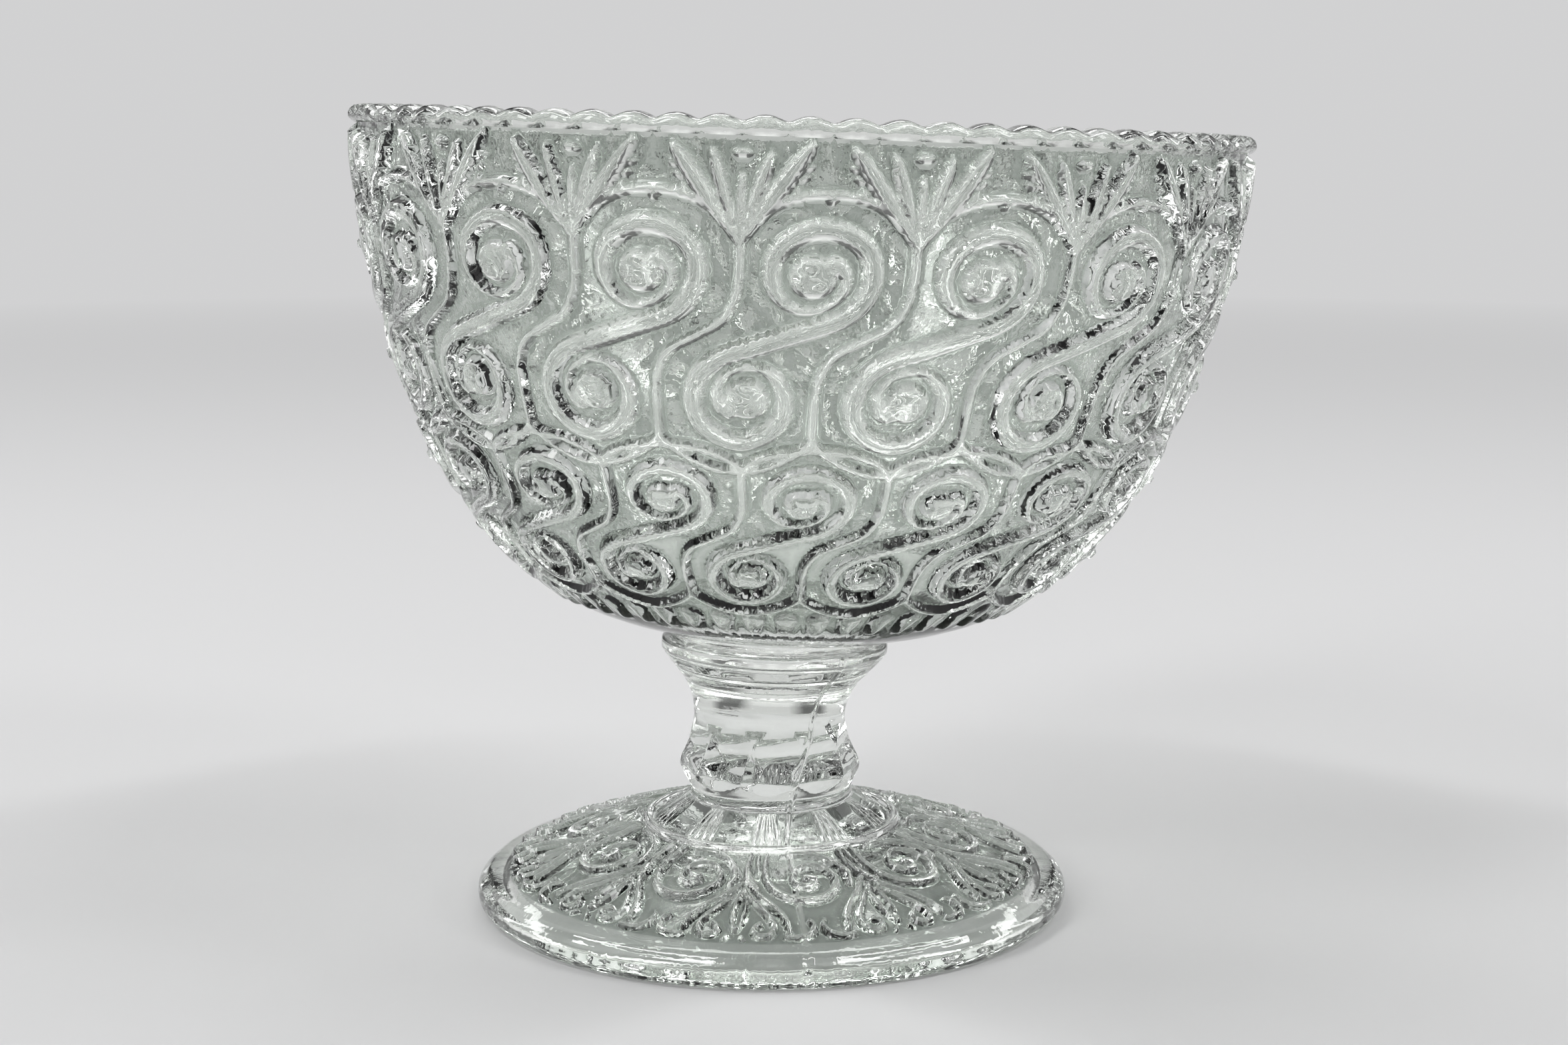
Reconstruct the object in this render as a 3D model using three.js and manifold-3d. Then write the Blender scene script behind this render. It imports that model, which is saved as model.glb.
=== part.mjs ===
// A stemmed serving bowl of clear pressed glass. The bowl carries S-scrolls in two
// tiers, palmettes and a scalloped lip. A thin wafer of glass joins it, slightly
// askew, to a faceted stem that is one pressing with its round foot.
// Lengths are in millimetres, angles in degrees, +Z is up and the front faces -Y.

import * as THREE from 'three';
import { mergeVertices } from 'three/addons/utils/BufferGeometryUtils.js';
import Module from 'manifold-3d';

// Foot
const footRadius = 40.2;
const footRise = 14.3;
const footOutlineShares = [
  [0.975, 0], [0.998, 0.08], [1, 0.165], [0.988, 0.22], [0.965, 0.252], [0.92, 0.3],
  [0.846, 0.37], [0.747, 0.463], [0.647, 0.555], [0.547, 0.645], [0.445, 0.745],
];
const footEdgeShares = [0, 0.05, 0.1, 0.16];
const footStepRadius = 16.7;
const footStepWidth = 1.8;
const footStepHeight = 1.1;
const footRingWidth = 3;
const footHollowRise = 7.2;
const footHollowShares = [[0.22, 0.99], [0.5, 0.86], [0.72, 0.6], [0.91, 0.3], [1, 0]];

// Foot ornament: scrolls and palmettes in turn, and rays inside the step. Its shares
// are of a repeat's pitch and of the field's depth, from its outer edge in.
const footRepeats = 10;
const footFacetsPerRepeat = 5;
const footTurn = 11.5;
const footFieldShares = [0.3, 0.985];
const footBandWidth = 1.1;
const footLeafWidth = 1.4;
const footReliefHeight = 0.75;
const footRayHeight = 0.45;
const footEyeShare = [0, 0.71];
const footEyeSizeShare = [0.295, 0.23];
const footCoilAngles = [170, 380, 690];
const footLeafShares = [
  [[0.4, 0.6], [0.33, 0.42], [0.25, 0.24], [0.17, 0.15]],
  [[0.45, 0.52], [0.45, 0.34], [0.45, 0.14]],
  [[0.545, 0.57], [0.6, 0.4], [0.67, 0.24], [0.75, 0.16]],
];
const footBorderShares = [[0.58, 0], [0.55, 0.1], [0.515, 0.36], [0.49, 0.6], [0.465, 1]];

// Stem
const stemSides = 10;
const stemTwist = 30;
const stemTurn = -25;
const neckRadius = 11.05;
const neckHeight = 2.1;
const knopRadius = 12.5;
const knopHeight = 18.6;
const waistRadius = 10.25;
const waistHeight = 24.2;
const collarRadius = 15.4;
const collarFootHeight = 34.2;
const collarTopHeight = 36;
const stemFlareShares = [0, 0.03, 0.1, 0.24, 0.5, 0.8, 1];

// How the soft stem gave way when the bowl was set on it
const leanAngle = 2.3;
const leanHeading = 25.5;
const stemDrift = 0.5;
const waistSway = 0.6;

// Wafer between stem and bowl
const jointGap = 0.3;
const waferRadius = 14.9;
const waferThickness = 0.9;
const bowlShift = 1.3;

// Bowl
const bowlRadius = 58.4;
const bowlHeight = 67.9;
const bowlWall = 3.1;
const bowlFloor = 5.2;
const bowlOutlineShares = [
  [0.274, 0], [0.34, 0.013], [0.456, 0.042], [0.534, 0.077], [0.598, 0.12], [0.667, 0.181],
  [0.743, 0.262], [0.82, 0.37], [0.877, 0.488], [0.925, 0.615], [0.965, 0.75], [0.988, 0.88],
  [0.994, 0.965],
];

// Scalloped lip, some scallops to a column of the ornament
const scallopsPerColumn = 4;
const lipHeight = 2.4;
const lipProud = 1;
const scallopRise = 0.7;
const scallopSwell = 0.35;

// Bowl ornament, in columns: each tier has a low and a high edge on the outline
const columns = 18;
const columnTurn = -2.3;
const baseRowShares = [0.05, 0.11, 0.17];
const upperTierShares = [0.532, 0.94];
const lowerTierShares = [0.254, 0.567];
const scrollBandWidth = 1.45;
const scrollHeight = 1;
const frameWidth = 1.2;
const frameHeight = 0.8;
const bladeWidth = 1.8;
const bladeHeight = 0.9;
const mitreLimit = 0.5;

// Scroll and frame outlines, in shares of a column's pitch and a tier's height
const scrollTailShares = [[0, 0], [0.26, 0.05]];
const scrollEyeShare = [0.236, 0.243];
const scrollEyeSizeShare = [0.293, 0.147];
const scrollCoilAngles = [-42, 215, 458];
const scrollCoreShare = 0.2;
const scrollHeadShare = 1.9;
const scrollFitShares = [0.076, 0.0425];
const borderShares = [[0, 0], [0.21, 0.11], [0.27, 0.34]];
const archStepShares = [0.08, 0.26, 0.5, 0.74, 0.92];

// Blades of a palmette: lean at the lip, foot and top as shares of the way up
const bladeShares = [
  [-0.36, 0.4, 0.87], [-0.17, 0.5, 0.82], [0, 0.26, 0.7], [0.17, 0.5, 0.85], [0.36, 0.4, 0.88],
];

// Inside of the bowl, as shares of the way up the outside that it follows
const insideRowShares = [0.92, 0.74, 0.56, 0.42, 0.3, 0.21];
const floorRimShare = 0.6;

// Glass
const glassColour = 0xdfe8e0;
const glassRoughness = 0.06;

const radians = THREE.MathUtils.degToRad;
const wasm = await Module();
wasm.setup();

/** Closed three.js geometry as a solid that can be joined and cut. */
function solidOf(geometry) {
  geometry.deleteAttribute('normal');
  geometry.deleteAttribute('uv');
  const merged = mergeVertices(geometry);
  const triangles = Array.from(merged.index.array);
  const kept = [];
  for (let i = 0; i < triangles.length; i += 3) {
    const [a, b, c] = triangles.slice(i, i + 3);
    if (a !== b && b !== c && c !== a) kept.push(a, b, c);
  }
  const vertProperties = new Float32Array(merged.attributes.position.array);
  return new wasm.Manifold(new wasm.Mesh({
    numProp: 3, vertProperties, triVerts: new Uint32Array(kept),
  }));
}

/** Solid back to a three.js geometry with flat facets. */
function geometryOf(solid) {
  const mesh = solid.getMesh();
  const geometry = new THREE.BufferGeometry();
  geometry.setAttribute('position', new THREE.BufferAttribute(mesh.vertProperties, 3));
  geometry.setIndex(new THREE.BufferAttribute(mesh.triVerts, 1));
  geometry.computeVertexNormals();
  return geometry;
}

/** Revolves an outline of [radius, height] about +Z. It runs bottom to top, outside first. */
function revolve(outline, facets) {
  const points = outline.map(([radius, height]) => new THREE.Vector2(radius, height));
  return new THREE.LatheGeometry(points, facets).rotateX(radians(90));
}

/** Skins a row of rings, each a closed loop of as many points, and closes both ends. */
function loft(rings, endless = false) {
  const sides = rings[0].length;
  const positions = rings.flat().flatMap((p) => [p.x, p.y, p.z]);
  const index = [];
  const last = endless ? rings.length : rings.length - 1;
  for (let i = 0; i < last; i += 1) {
    const next = (i + 1) % rings.length;
    for (let j = 0; j < sides; j += 1) {
      const k = (j + 1) % sides;
      const [a, b, c, d] = [i * sides + j, i * sides + k, next * sides + k, next * sides + j];
      index.push(a, b, c, a, c, d);
    }
  }
  if (!endless) {
    const top = last * sides;
    for (let j = 1; j < sides - 1; j += 1) {
      index.push(0, j + 1, j, top, top + j, top + j + 1);
    }
  }
  const geometry = new THREE.BufferGeometry();
  geometry.setAttribute('position', new THREE.Float32BufferAttribute(positions, 3));
  geometry.setIndex(index);
  return geometry;
}

/** A smooth outline through points given as shares of a radius and a height. */
function outlineCurve(shares, radius, height) {
  return new THREE.SplineCurve(
    shares.map(([across, up]) => new THREE.Vector2(across * radius, up * height)),
  );
}

/** One closed skin of glass, gathered as triangles. */
class Sheet {
  constructor() {
    this.corners = [];
  }

  triangle(a, b, c) {
    this.corners.push(a, b, c);
  }

  /** Joins two rows of as many points; both run from left to right. */
  strip(lower, upper) {
    for (let i = 0; i < lower.length - 1; i += 1) {
      this.triangle(lower[i], lower[i + 1], upper[i + 1]);
      this.triangle(lower[i], upper[i + 1], upper[i]);
    }
  }

  /** Joins two rows of chart points of any lengths, both from left to right. */
  zip(lower, upper) {
    let [i, j] = [0, 0];
    const next = (row, at) => (at < row.length - 1 ? row[at + 1].across : Infinity);
    while (i < lower.length - 1 || j < upper.length - 1) {
      if (next(lower, i) <= next(upper, j)) {
        this.triangle(lower[i].spot, lower[i + 1].spot, upper[j].spot);
        i += 1;
      } else {
        this.triangle(lower[i].spot, upper[j + 1].spot, upper[j].spot);
        j += 1;
      }
    }
  }

  /** Joins many rows, each to the one before. */
  rows(many) {
    many.slice(1).forEach((row, i) => this.zip(many[i], row));
  }

  geometry() {
    const flat = this.corners.flatMap((p) => [p.x, p.y, p.z]);
    const loose = new THREE.BufferGeometry();
    loose.setAttribute('position', new THREE.Float32BufferAttribute(flat, 3));
    const welded = mergeVertices(loose);
    welded.computeVertexNormals();
    return welded;
  }
}

/** A skin of revolution as a chart: across in repeats of its ornament, up in shares. */
class OrnamentChart {
  constructor(curve, repeats, turn) {
    Object.assign(this, { curve, repeats, turn });
    this.length = curve.getLength();
    this.pitch = radians(360 / repeats);
  }

  /** A spot at a radius and a height, some repeats round the skin. */
  round(across, radius, height) {
    const share = THREE.MathUtils.euclideanModulo(across, this.repeats);
    const turn = radians(this.turn) + share * this.pitch;
    const spot = new THREE.Vector3(radius * Math.sin(turn), -radius * Math.cos(turn), height);
    return { across, spot };
  }

  /** A spot of the chart, lifted off the skin. */
  at(across, up, lift = 0) {
    const along = this.curve.getTangentAt(up);
    const foot = this.curve.getPointAt(up);
    return this.round(across, foot.x + along.y * lift, foot.y - along.x * lift);
  }

  /** Spots of a path of the chart. */
  spots(path, lift = 0) {
    return path.map(([across, up]) => this.at(across, up, lift).spot);
  }

  /** A row round the skin whose radius and height a function gives for each point. */
  ring(start, perRepeat, section) {
    const count = this.repeats * perRepeat;
    return Array.from({ length: count + 1 }, (_, i) => (
      this.round(start + i / perRepeat, ...section(i % count))
    ));
  }

  /** A level row round the skin. */
  level(start, perRepeat, up) {
    const foot = this.curve.getPointAt(up);
    return this.ring(start, perRepeat, () => [foot.x, foot.y]);
  }

  /** Width of a repeat on the glass. */
  wide(up) {
    return this.curve.getPointAt(up).x * this.pitch;
  }

  /** A point of the chart in lengths on the glass, measured at one height. */
  flat([across, up], scaleUp = up) {
    return new THREE.Vector2(across * this.wide(scaleUp), up * this.length);
  }

  /** A path moved to its left by distances on the glass. */
  beside(path, distances, endless = false) {
    const count = path.length;
    return path.map((point, i) => {
      const before = path[endless ? (i + count - 1) % count : Math.max(i - 1, 0)];
      const after = path[endless ? (i + 1) % count : Math.min(i + 1, count - 1)];
      const [p, q, r] = [before, point, after].map((spot) => this.flat(spot, point[1]));
      const [into, out] = [q.clone().sub(p).normalize(), r.clone().sub(q).normalize()];
      const mean = into.clone().add(out).normalize();
      const open = Math.max(out.lengthSq() > 0 ? out.dot(mean) : into.dot(mean), mitreLimit);
      const unit = this.flat([1, 1], point[1]);
      return [
        point[0] - (mean.y * distances[i]) / open / unit.x,
        point[1] + (mean.x * distances[i]) / open / unit.y,
      ];
    });
  }

  /** Fills the ground between a contour, anticlockwise, and the islands in it. */
  ground(sheet, contour, islands) {
    const loops = [contour, ...islands];
    const scaleUp = contour.reduce((sum, [, up]) => sum + up, 0) / contour.length;
    const plane = loops.map((loop) => loop.map((point) => this.flat(point, scaleUp)));
    const [spots, corners] = [this.spots(loops.flat()), plane.flat()];
    THREE.ShapeUtils.triangulateShape(plane[0], plane.slice(1)).forEach(([a, b, c]) => {
      const turn = THREE.ShapeUtils.area([corners[a], corners[b], corners[c]]);
      if (turn > 0) sheet.triangle(spots[a], spots[b], spots[c]);
      else sheet.triangle(spots[a], spots[c], spots[b]);
    });
  }

  /** A ridge along a path. Gives the outline of its foot, an island in the ground. */
  ridge(sheet, path, widths, lift) {
    const left = this.beside(path, widths.map((width) => width / 2));
    const right = this.beside(path, widths.map((width) => -width / 2));
    const [leftFeet, rightFeet] = [this.spots(left), this.spots(right)];
    const crest = this.spots(path, lift);
    sheet.strip(rightFeet, crest);
    sheet.strip(crest, leftFeet);
    sheet.triangle(leftFeet[0], rightFeet[0], crest[0]);
    sheet.triangle(rightFeet.at(-1), leftFeet.at(-1), crest.at(-1));
    return [...right, ...left.reverse()].reverse();
  }
}

/** Points of a coil round an eye: a ring that winds in to its core once it has opened. */
function coil([eyeAcross, eyeUp], [wide, tall], [start, open, end], steps) {
  return evenShares(steps).map((share) => {
    const turn = THREE.MathUtils.lerp(start, end, share);
    const wound = Math.max((turn - open) / (end - open), 0);
    const size = THREE.MathUtils.lerp(1, scrollCoreShare, wound);
    return [
      eyeAcross + wide * size * Math.cos(radians(turn)),
      eyeUp + tall * size * Math.sin(radians(turn)),
    ];
  });
}

/** A half outline and the same half turned about its first point, its middle. */
function turnedDouble(half) {
  return [...half.slice(1).map(([across, up]) => [-across, -up]).reverse(), ...half];
}

/** Even shares from none to all, in some steps. */
function evenShares(count) {
  return Array.from({ length: count + 1 }, (_, i) => i / count);
}

/** One tier of the bowl's ornament: a scroll to each column, in a frame that it shares. */
class Tier {
  constructor(chart, [low, high], coilSteps) {
    this.chart = chart;
    this.middle = (low + high) / 2;
    this.tall = high - low;
    this.scroll = turnedDouble([...scrollTailShares, ...coil(
      scrollEyeShare, scrollEyeSizeShare, scrollCoilAngles, coilSteps,
    )]);
  }

  placed(points, column) {
    return points.map(([across, up]) => [column + across, this.middle + up * this.tall]);
  }

  /** Frame between a column and the next, from its foot up. */
  side(column) {
    return this.placed(turnedDouble(borderShares), column + 0.5);
  }

  /** Arch over a column, without its feet, from left to right. */
  arch(column) {
    const [across, up] = borderShares.at(-1);
    return this.placed(archStepShares.map((step) => [
      across - 0.5 + step, up + (0.5 - up) * Math.sqrt(1 - (2 * step - 1) ** 2),
    ]), column);
  }

  /** Bow under a column, without its ends, from left to right. */
  bow(column) {
    const [across, up] = borderShares.at(-1);
    return this.placed(archStepShares.map((step) => [
      step - across - 0.5, -up - (0.5 - up) * Math.sqrt(1 - (2 * step - 1) ** 2),
    ]), column);
  }

  /** A row of raised frame round the bowl, ending where it began. */
  row(columnPoints) {
    const points = Array.from({ length: columns }, (_, column) => columnPoints(column)).flat();
    return [...points, [points[0][0] + columns, points[0][1]]]
      .map(([across, up]) => this.chart.at(across, up, frameHeight));
  }

  archRow() {
    return this.row((column) => [this.side(column - 1).at(-1), ...this.arch(column)]);
  }

  bowRow() {
    return this.row((column) => [this.side(column - 1)[0], ...this.bow(column)]);
  }

  /** Widths of the scroll's band, which fits its coil and swells to a head at each core. */
  bandWidths() {
    const band = Math.min(
      scrollBandWidth,
      this.chart.wide(this.middle) * scrollFitShares[0],
      this.tall * this.chart.length * scrollFitShares[1],
    );
    const last = this.scroll.length - 1;
    return this.scroll.map((_, i) => (i === 0 || i === last ? band * scrollHeadShare : band));
  }

  /** One column: its frame's inner slope, its scroll and the ground between them. */
  cell(sheet, column) {
    const { chart } = this;
    const [left, right] = [this.side(column - 1), this.side(column)];
    const frame = [left[0], ...this.bow(column), ...right, ...this.arch(column).reverse(),
      ...left.slice(1).reverse()];
    const foot = chart.beside(frame, frame.map(() => frameWidth / 2), true);
    const closed = (loop) => [...loop, loop[0]];
    sheet.strip(chart.spots(closed(frame), frameHeight), chart.spots(closed(foot)));
    const path = this.placed(this.scroll, column);
    chart.ground(sheet, foot, [chart.ridge(sheet, path, this.bandWidths(), scrollHeight)]);
  }

  /** A palmette between two crowns: blades that spread from the arches' foot to the lip. */
  palmette(sheet, column) {
    const { chart } = this;
    const crown = archStepShares.indexOf(0.5);
    const [before, after] = [this.arch(column), this.arch(column + 1)];
    const valley = [...before.slice(crown - 1), this.side(column).at(-1),
      ...after.slice(0, crown + 2)];
    const toe = chart.beside(valley, valley.map(() => frameWidth / 2)).slice(1, -1);
    sheet.strip(chart.spots(valley.slice(1, -1), frameHeight), chart.spots(toe));
    const [across, up] = toe[(toe.length - 1) / 2];
    const blades = bladeShares.map(([lean, ...run]) => {
      const path = run.map((share) => [across + lean * share, THREE.MathUtils.lerp(up, 1, share)]);
      return chart.ridge(sheet, path, [bladeWidth / 3, bladeWidth], bladeHeight);
    });
    const lip = evenShares(scallopsPerColumn).map((share) => [
      column + borderShares.at(-1)[0] + share, 1,
    ]);
    chart.ground(sheet, [...toe, ...lip.reverse()], blades);
  }
}

/** The rounded lip, which swells and rises once for each scallop, and the inside. */
function closeInside(sheet, chart) {
  const { curve } = chart;
  const rim = curve.getPointAt(1);
  const start = borderShares.at(-1)[0];
  const top = rim.y + lipHeight - scallopRise;
  const scallop = (radius, height) => chart.ring(start, scallopsPerColumn * 2, (i) => (
    i % 2 ? [radius + scallopSwell, height + scallopRise] : [radius, height]
  ));
  const inside = insideRowShares.map((up) => {
    const [foot, along] = [curve.getPointAt(up), curve.getTangentAt(up)];
    return [foot.x - along.y * bowlWall, foot.y + along.x * bowlWall];
  });
  const facets = scallopsPerColumn / 2;
  sheet.rows([
    chart.level(start, scallopsPerColumn, 1),
    scallop(rim.x + lipProud, rim.y + lipHeight * 0.3),
    scallop(rim.x + lipProud * 0.4, top - lipHeight * 0.06),
    scallop(rim.x - bowlWall * 0.4, top),
    chart.ring(start, scallopsPerColumn, () => inside[0]),
    ...inside.slice(1).map((section) => chart.ring(start, facets, () => section)),
    chart.ring(start, facets, () => [inside.at(-1)[0] * floorRimShare, bowlFloor]),
    [chart.round(0, 0, bowlFloor)],
  ]);
}

/** The bowl, standing on its base with its axis upright. */
function bowlGeometry() {
  const curve = outlineCurve(bowlOutlineShares, bowlRadius, bowlHeight);
  const chart = new OrnamentChart(curve, columns, columnTurn);
  const sheet = new Sheet();
  const upper = new Tier(chart, upperTierShares, 10);
  const lower = new Tier(chart, lowerTierShares, 9);
  const bows = lower.bowRow();
  sheet.rows([
    [chart.round(0, 0, 0)],
    ...[0, ...baseRowShares].map((up) => chart.level(bows[0].across, 2, up)),
    bows,
  ]);
  sheet.zip(lower.archRow(), upper.bowRow());
  for (let column = 0; column < columns; column += 1) {
    lower.cell(sheet, column);
    upper.cell(sheet, column);
    upper.palmette(sheet, column);
  }
  closeInside(sheet, chart);
  return sheet.geometry();
}

/** The wafer of glass that joins bowl and stem: a disc with a soft, rounded edge. */
function waferGeometry() {
  const edge = waferThickness / 2;
  return revolve([
    [0, 0], [waferRadius - edge, 0], [waferRadius, edge], [waferRadius - edge, waferThickness],
    [0, waferThickness],
  ], 48);
}

/** Radius of the faceted stem, at its corners, for a height above the table. */
function stemRadiusAt(height) {
  if (height <= knopHeight) return knopRadius;
  if (height <= waistHeight) {
    const share = (height - knopHeight) / (waistHeight - knopHeight);
    return THREE.MathUtils.lerp(knopRadius, waistRadius, Math.sin(radians(90) * share));
  }
  const share = (height - waistHeight) / (collarFootHeight - waistHeight);
  const flare = Math.min(share, 1) ** 2.2;
  return THREE.MathUtils.lerp(waistRadius, collarRadius, flare);
}

/** Leans and shifts a point of the stem as the soft glass gave way below the bowl. */
function swayed(point) {
  const share = THREE.MathUtils.clamp((point.z - footRise) / (collarTopHeight - footRise), 0, 1);
  const ease = share * share * (3 - 2 * share);
  const heading = new THREE.Vector3(
    Math.cos(radians(leanHeading)), Math.sin(radians(leanHeading)), 0,
  );
  const drift = stemDrift * ease - waistSway * Math.sin(Math.PI * share);
  const arm = point.x * heading.x + point.y * heading.y;
  const lean = radians(leanAngle) * ease;
  const moved = point.clone();
  moved.z -= arm * Math.sin(lean);
  moved.addScaledVector(heading, drift - arm * (1 - Math.cos(lean)));
  return moved;
}

/** Faceted stem from inside the foot up to the collar. */
function stemSolid() {
  const heights = [
    footRise - neckHeight, knopHeight - neckHeight / 2, knopHeight,
    THREE.MathUtils.lerp(knopHeight, waistHeight, 0.35),
    THREE.MathUtils.lerp(knopHeight, waistHeight, 0.7),
    ...stemFlareShares.map((share) => THREE.MathUtils.lerp(waistHeight, collarFootHeight, share)),
    collarTopHeight,
  ];
  const rings = heights.map((height) => {
    const share = (height - footRise) / (collarTopHeight - footRise);
    const radius = stemRadiusAt(height);
    return Array.from({ length: stemSides }, (_, side) => {
      const turn = radians(stemTurn + stemTwist * share + (side * 360) / stemSides);
      return new THREE.Vector3(radius * Math.sin(turn), -radius * Math.cos(turn), height);
    });
  });
  const neckFoot = footRise - neckHeight;
  const knopFoot = footRise + neckHeight;
  const knopReach = knopRadius + neckHeight;
  const round = revolve([
    [0, neckFoot], [neckRadius, neckFoot], [neckRadius, knopFoot],
    [knopReach, knopHeight + neckHeight / 2],
    [collarRadius + neckHeight, knopHeight + neckHeight],
    [collarRadius + neckHeight, collarTopHeight + neckHeight],
    [0, collarTopHeight + neckHeight],
  ], footRepeats * footFacetsPerRepeat);
  return solidOf(loft(rings)).intersect(solidOf(round));
}

/** One repeat of the foot's ornament: a scroll, three leaves and the ground round them. */
function footRepeat(sheet, chart, [low, high], repeat) {
  const placed = (points) => points.map(([across, up]) => [
    repeat + across, THREE.MathUtils.lerp(low, high, up),
  ]);
  const ridge = (points, widths) => (
    chart.ridge(sheet, placed(points), widths, footReliefHeight)
  );
  const scroll = coil(footEyeShare, footEyeSizeShare, footCoilAngles, 2 * footFacetsPerRepeat);
  const [left, middle, right] = footLeafShares.map((leaf) => leaf.map(([across, up], i) => ({
    place: [across, up],
    width: footLeafWidth * Math.sin((Math.PI * (i + 1)) / (leaf.length + 1)),
  })));
  const leafOf = (leaf, shift) => ridge(
    leaf.map(({ place: [across, up] }) => [across + shift, up]), leaf.map(({ width }) => width),
  );
  const islands = [
    ridge(scroll, scroll.map(() => footBandWidth)),
    leafOf(left, 0), leafOf(middle, 0), leafOf(right, -1),
  ];
  const outer = evenShares(footFacetsPerRepeat).map((share) => [
    footBorderShares[0][0] - 1 + share, 0,
  ]);
  const inner = evenShares(footFacetsPerRepeat).map((share) => [
    footBorderShares.at(-1)[0] - share, 1,
  ]);
  const side = footBorderShares.slice(1, -1);
  const before = side.map(([across, up]) => [across - 1, up]).reverse();
  chart.ground(sheet, placed([...outer, ...side, ...inner, ...before]), islands);
}

/** Domed, hollow foot with its ornament and the raised ring round its middle. */
function footSolid() {
  const curve = outlineCurve(footOutlineShares, footRadius, footRise);
  const chart = new OrnamentChart(curve, footRepeats, footTurn);
  const hollowRadius = curve.getPointAt(0).x - footRingWidth;
  const [start, inward] = [footBorderShares[0][0], footBorderShares.at(-1)[0]];
  const sheet = new Sheet();
  const [low, high] = footFieldShares;
  sheet.rows([
    [chart.round(0, 0, footHollowRise)],
    ...footHollowShares.map(([out, up]) => (
      chart.ring(start, footFacetsPerRepeat, () => [out * hollowRadius, up * footHollowRise])
    )),
    ...[...footEdgeShares, low].map((up) => chart.level(start, footFacetsPerRepeat, up)),
  ]);
  for (let repeat = 0; repeat < footRepeats; repeat += 1) {
    footRepeat(sheet, chart, [low, high], repeat);
  }
  const dome = curve.getPointAt(high);
  const slope = (footRise - dome.y) / (footStepRadius - neckRadius);
  const ring = (radius, height, ray = 0) => chart.ring(inward, footFacetsPerRepeat, (i) => (
    [radius, height + (i % 2) * ray]
  ));
  sheet.rows([
    chart.level(inward, footFacetsPerRepeat, high),
    ring(footStepRadius + footStepWidth / 4, dome.y + footStepHeight),
    ring(footStepRadius - footStepWidth / 4, dome.y + footStepHeight),
    ring(footStepRadius - footStepWidth / 2, dome.y + footStepHeight / 2, footRayHeight),
    ring((footStepRadius + neckRadius) / 2, (dome.y + footRise) / 2 + footStepHeight / 2,
      footRayHeight),
    ring(neckRadius - neckHeight, footRise + slope * neckHeight),
    [chart.round(0, 0, footRise + slope * neckHeight)],
  ]);
  return solidOf(sheet.geometry());
}

/** Stem and foot, one pressing. */
function stemFootGeometry() {
  const geometry = geometryOf(footSolid().add(stemSolid()));
  const position = geometry.attributes.position;
  const point = new THREE.Vector3();
  for (let i = 0; i < position.count; i += 1) {
    const moved = swayed(point.fromBufferAttribute(position, i));
    position.setXYZ(i, moved.x, moved.y, moved.z);
  }
  return geometry;
}

/** A named mesh of glass. */
function glassMesh(name, geometry) {
  const mesh = new THREE.Mesh(geometry, new THREE.MeshStandardMaterial({
    color: glassColour, roughness: glassRoughness, metalness: 0, transparent: true, opacity: 0.4,
  }));
  mesh.name = name;
  return mesh;
}

const heading = new THREE.Vector3(
  Math.cos(radians(leanHeading)), Math.sin(radians(leanHeading)), 0,
);
const seat = new THREE.Group();
seat.position.copy(heading).multiplyScalar(stemDrift).setZ(collarTopHeight);
seat.quaternion.setFromAxisAngle(
  new THREE.Vector3(-heading.y, heading.x, 0), radians(leanAngle),
);

const wafer = glassMesh('wafer', waferGeometry());
wafer.position.copy(heading).multiplyScalar(bowlShift / 2).setZ(jointGap);
const bowl = glassMesh('bowl', bowlGeometry());
bowl.position.copy(heading).multiplyScalar(bowlShift)
  .setZ(waferThickness + 2 * jointGap);
seat.add(wafer, bowl);

const servingBowl = new THREE.Group();
servingBowl.add(glassMesh('stem_foot', stemFootGeometry()), seat);

const extent = new THREE.Box3().setFromObject(servingBowl, true);
const middle = extent.getCenter(new THREE.Vector3());
servingBowl.position.set(-middle.x, -middle.y, -extent.min.z);

export default servingBowl;
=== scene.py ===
"""Looks of the stemmed serving bowl: relief, glass, floor, light and camera.

Lengths in the classes are millimetres, as in the part's source, and become metres in the
meshes. Angles are degrees. Round the object they run from the front, -Y, towards +X.
"""

import logging
import math
from dataclasses import dataclass
from enum import Enum
from typing import Callable, Sequence

import bpy
import numpy as np
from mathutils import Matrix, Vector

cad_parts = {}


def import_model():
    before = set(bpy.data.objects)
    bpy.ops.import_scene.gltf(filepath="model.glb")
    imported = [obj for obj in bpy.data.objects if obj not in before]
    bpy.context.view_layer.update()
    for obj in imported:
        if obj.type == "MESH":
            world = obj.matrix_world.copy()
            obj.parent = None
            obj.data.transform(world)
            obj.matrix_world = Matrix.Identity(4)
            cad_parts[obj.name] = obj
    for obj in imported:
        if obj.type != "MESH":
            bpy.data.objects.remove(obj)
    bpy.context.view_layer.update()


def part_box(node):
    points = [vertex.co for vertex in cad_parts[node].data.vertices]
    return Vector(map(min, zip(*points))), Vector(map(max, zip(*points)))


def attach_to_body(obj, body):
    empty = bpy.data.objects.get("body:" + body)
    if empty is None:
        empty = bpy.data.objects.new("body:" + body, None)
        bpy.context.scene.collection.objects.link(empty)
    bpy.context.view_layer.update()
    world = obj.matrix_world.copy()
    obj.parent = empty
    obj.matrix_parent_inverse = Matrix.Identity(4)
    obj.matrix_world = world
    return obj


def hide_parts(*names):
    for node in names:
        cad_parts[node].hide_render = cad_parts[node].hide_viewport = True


LOG = logging.getLogger("serving_bowl")
METRES = 0.001
FULL_TURN = 360.0
# Farther than any distance here, and nearer than any that counts
FAR = 1e9
TINY = 1e-9
# Steps of a smooth curve between two of the points that it is drawn through
CURVE_STEPS = 24
# Step along the profile of a turned shape
PROFILE_STEP = 0.1
# Power of a rounded ridge's section, near that of an ellipse
ARC_POWER = 0.6
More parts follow.
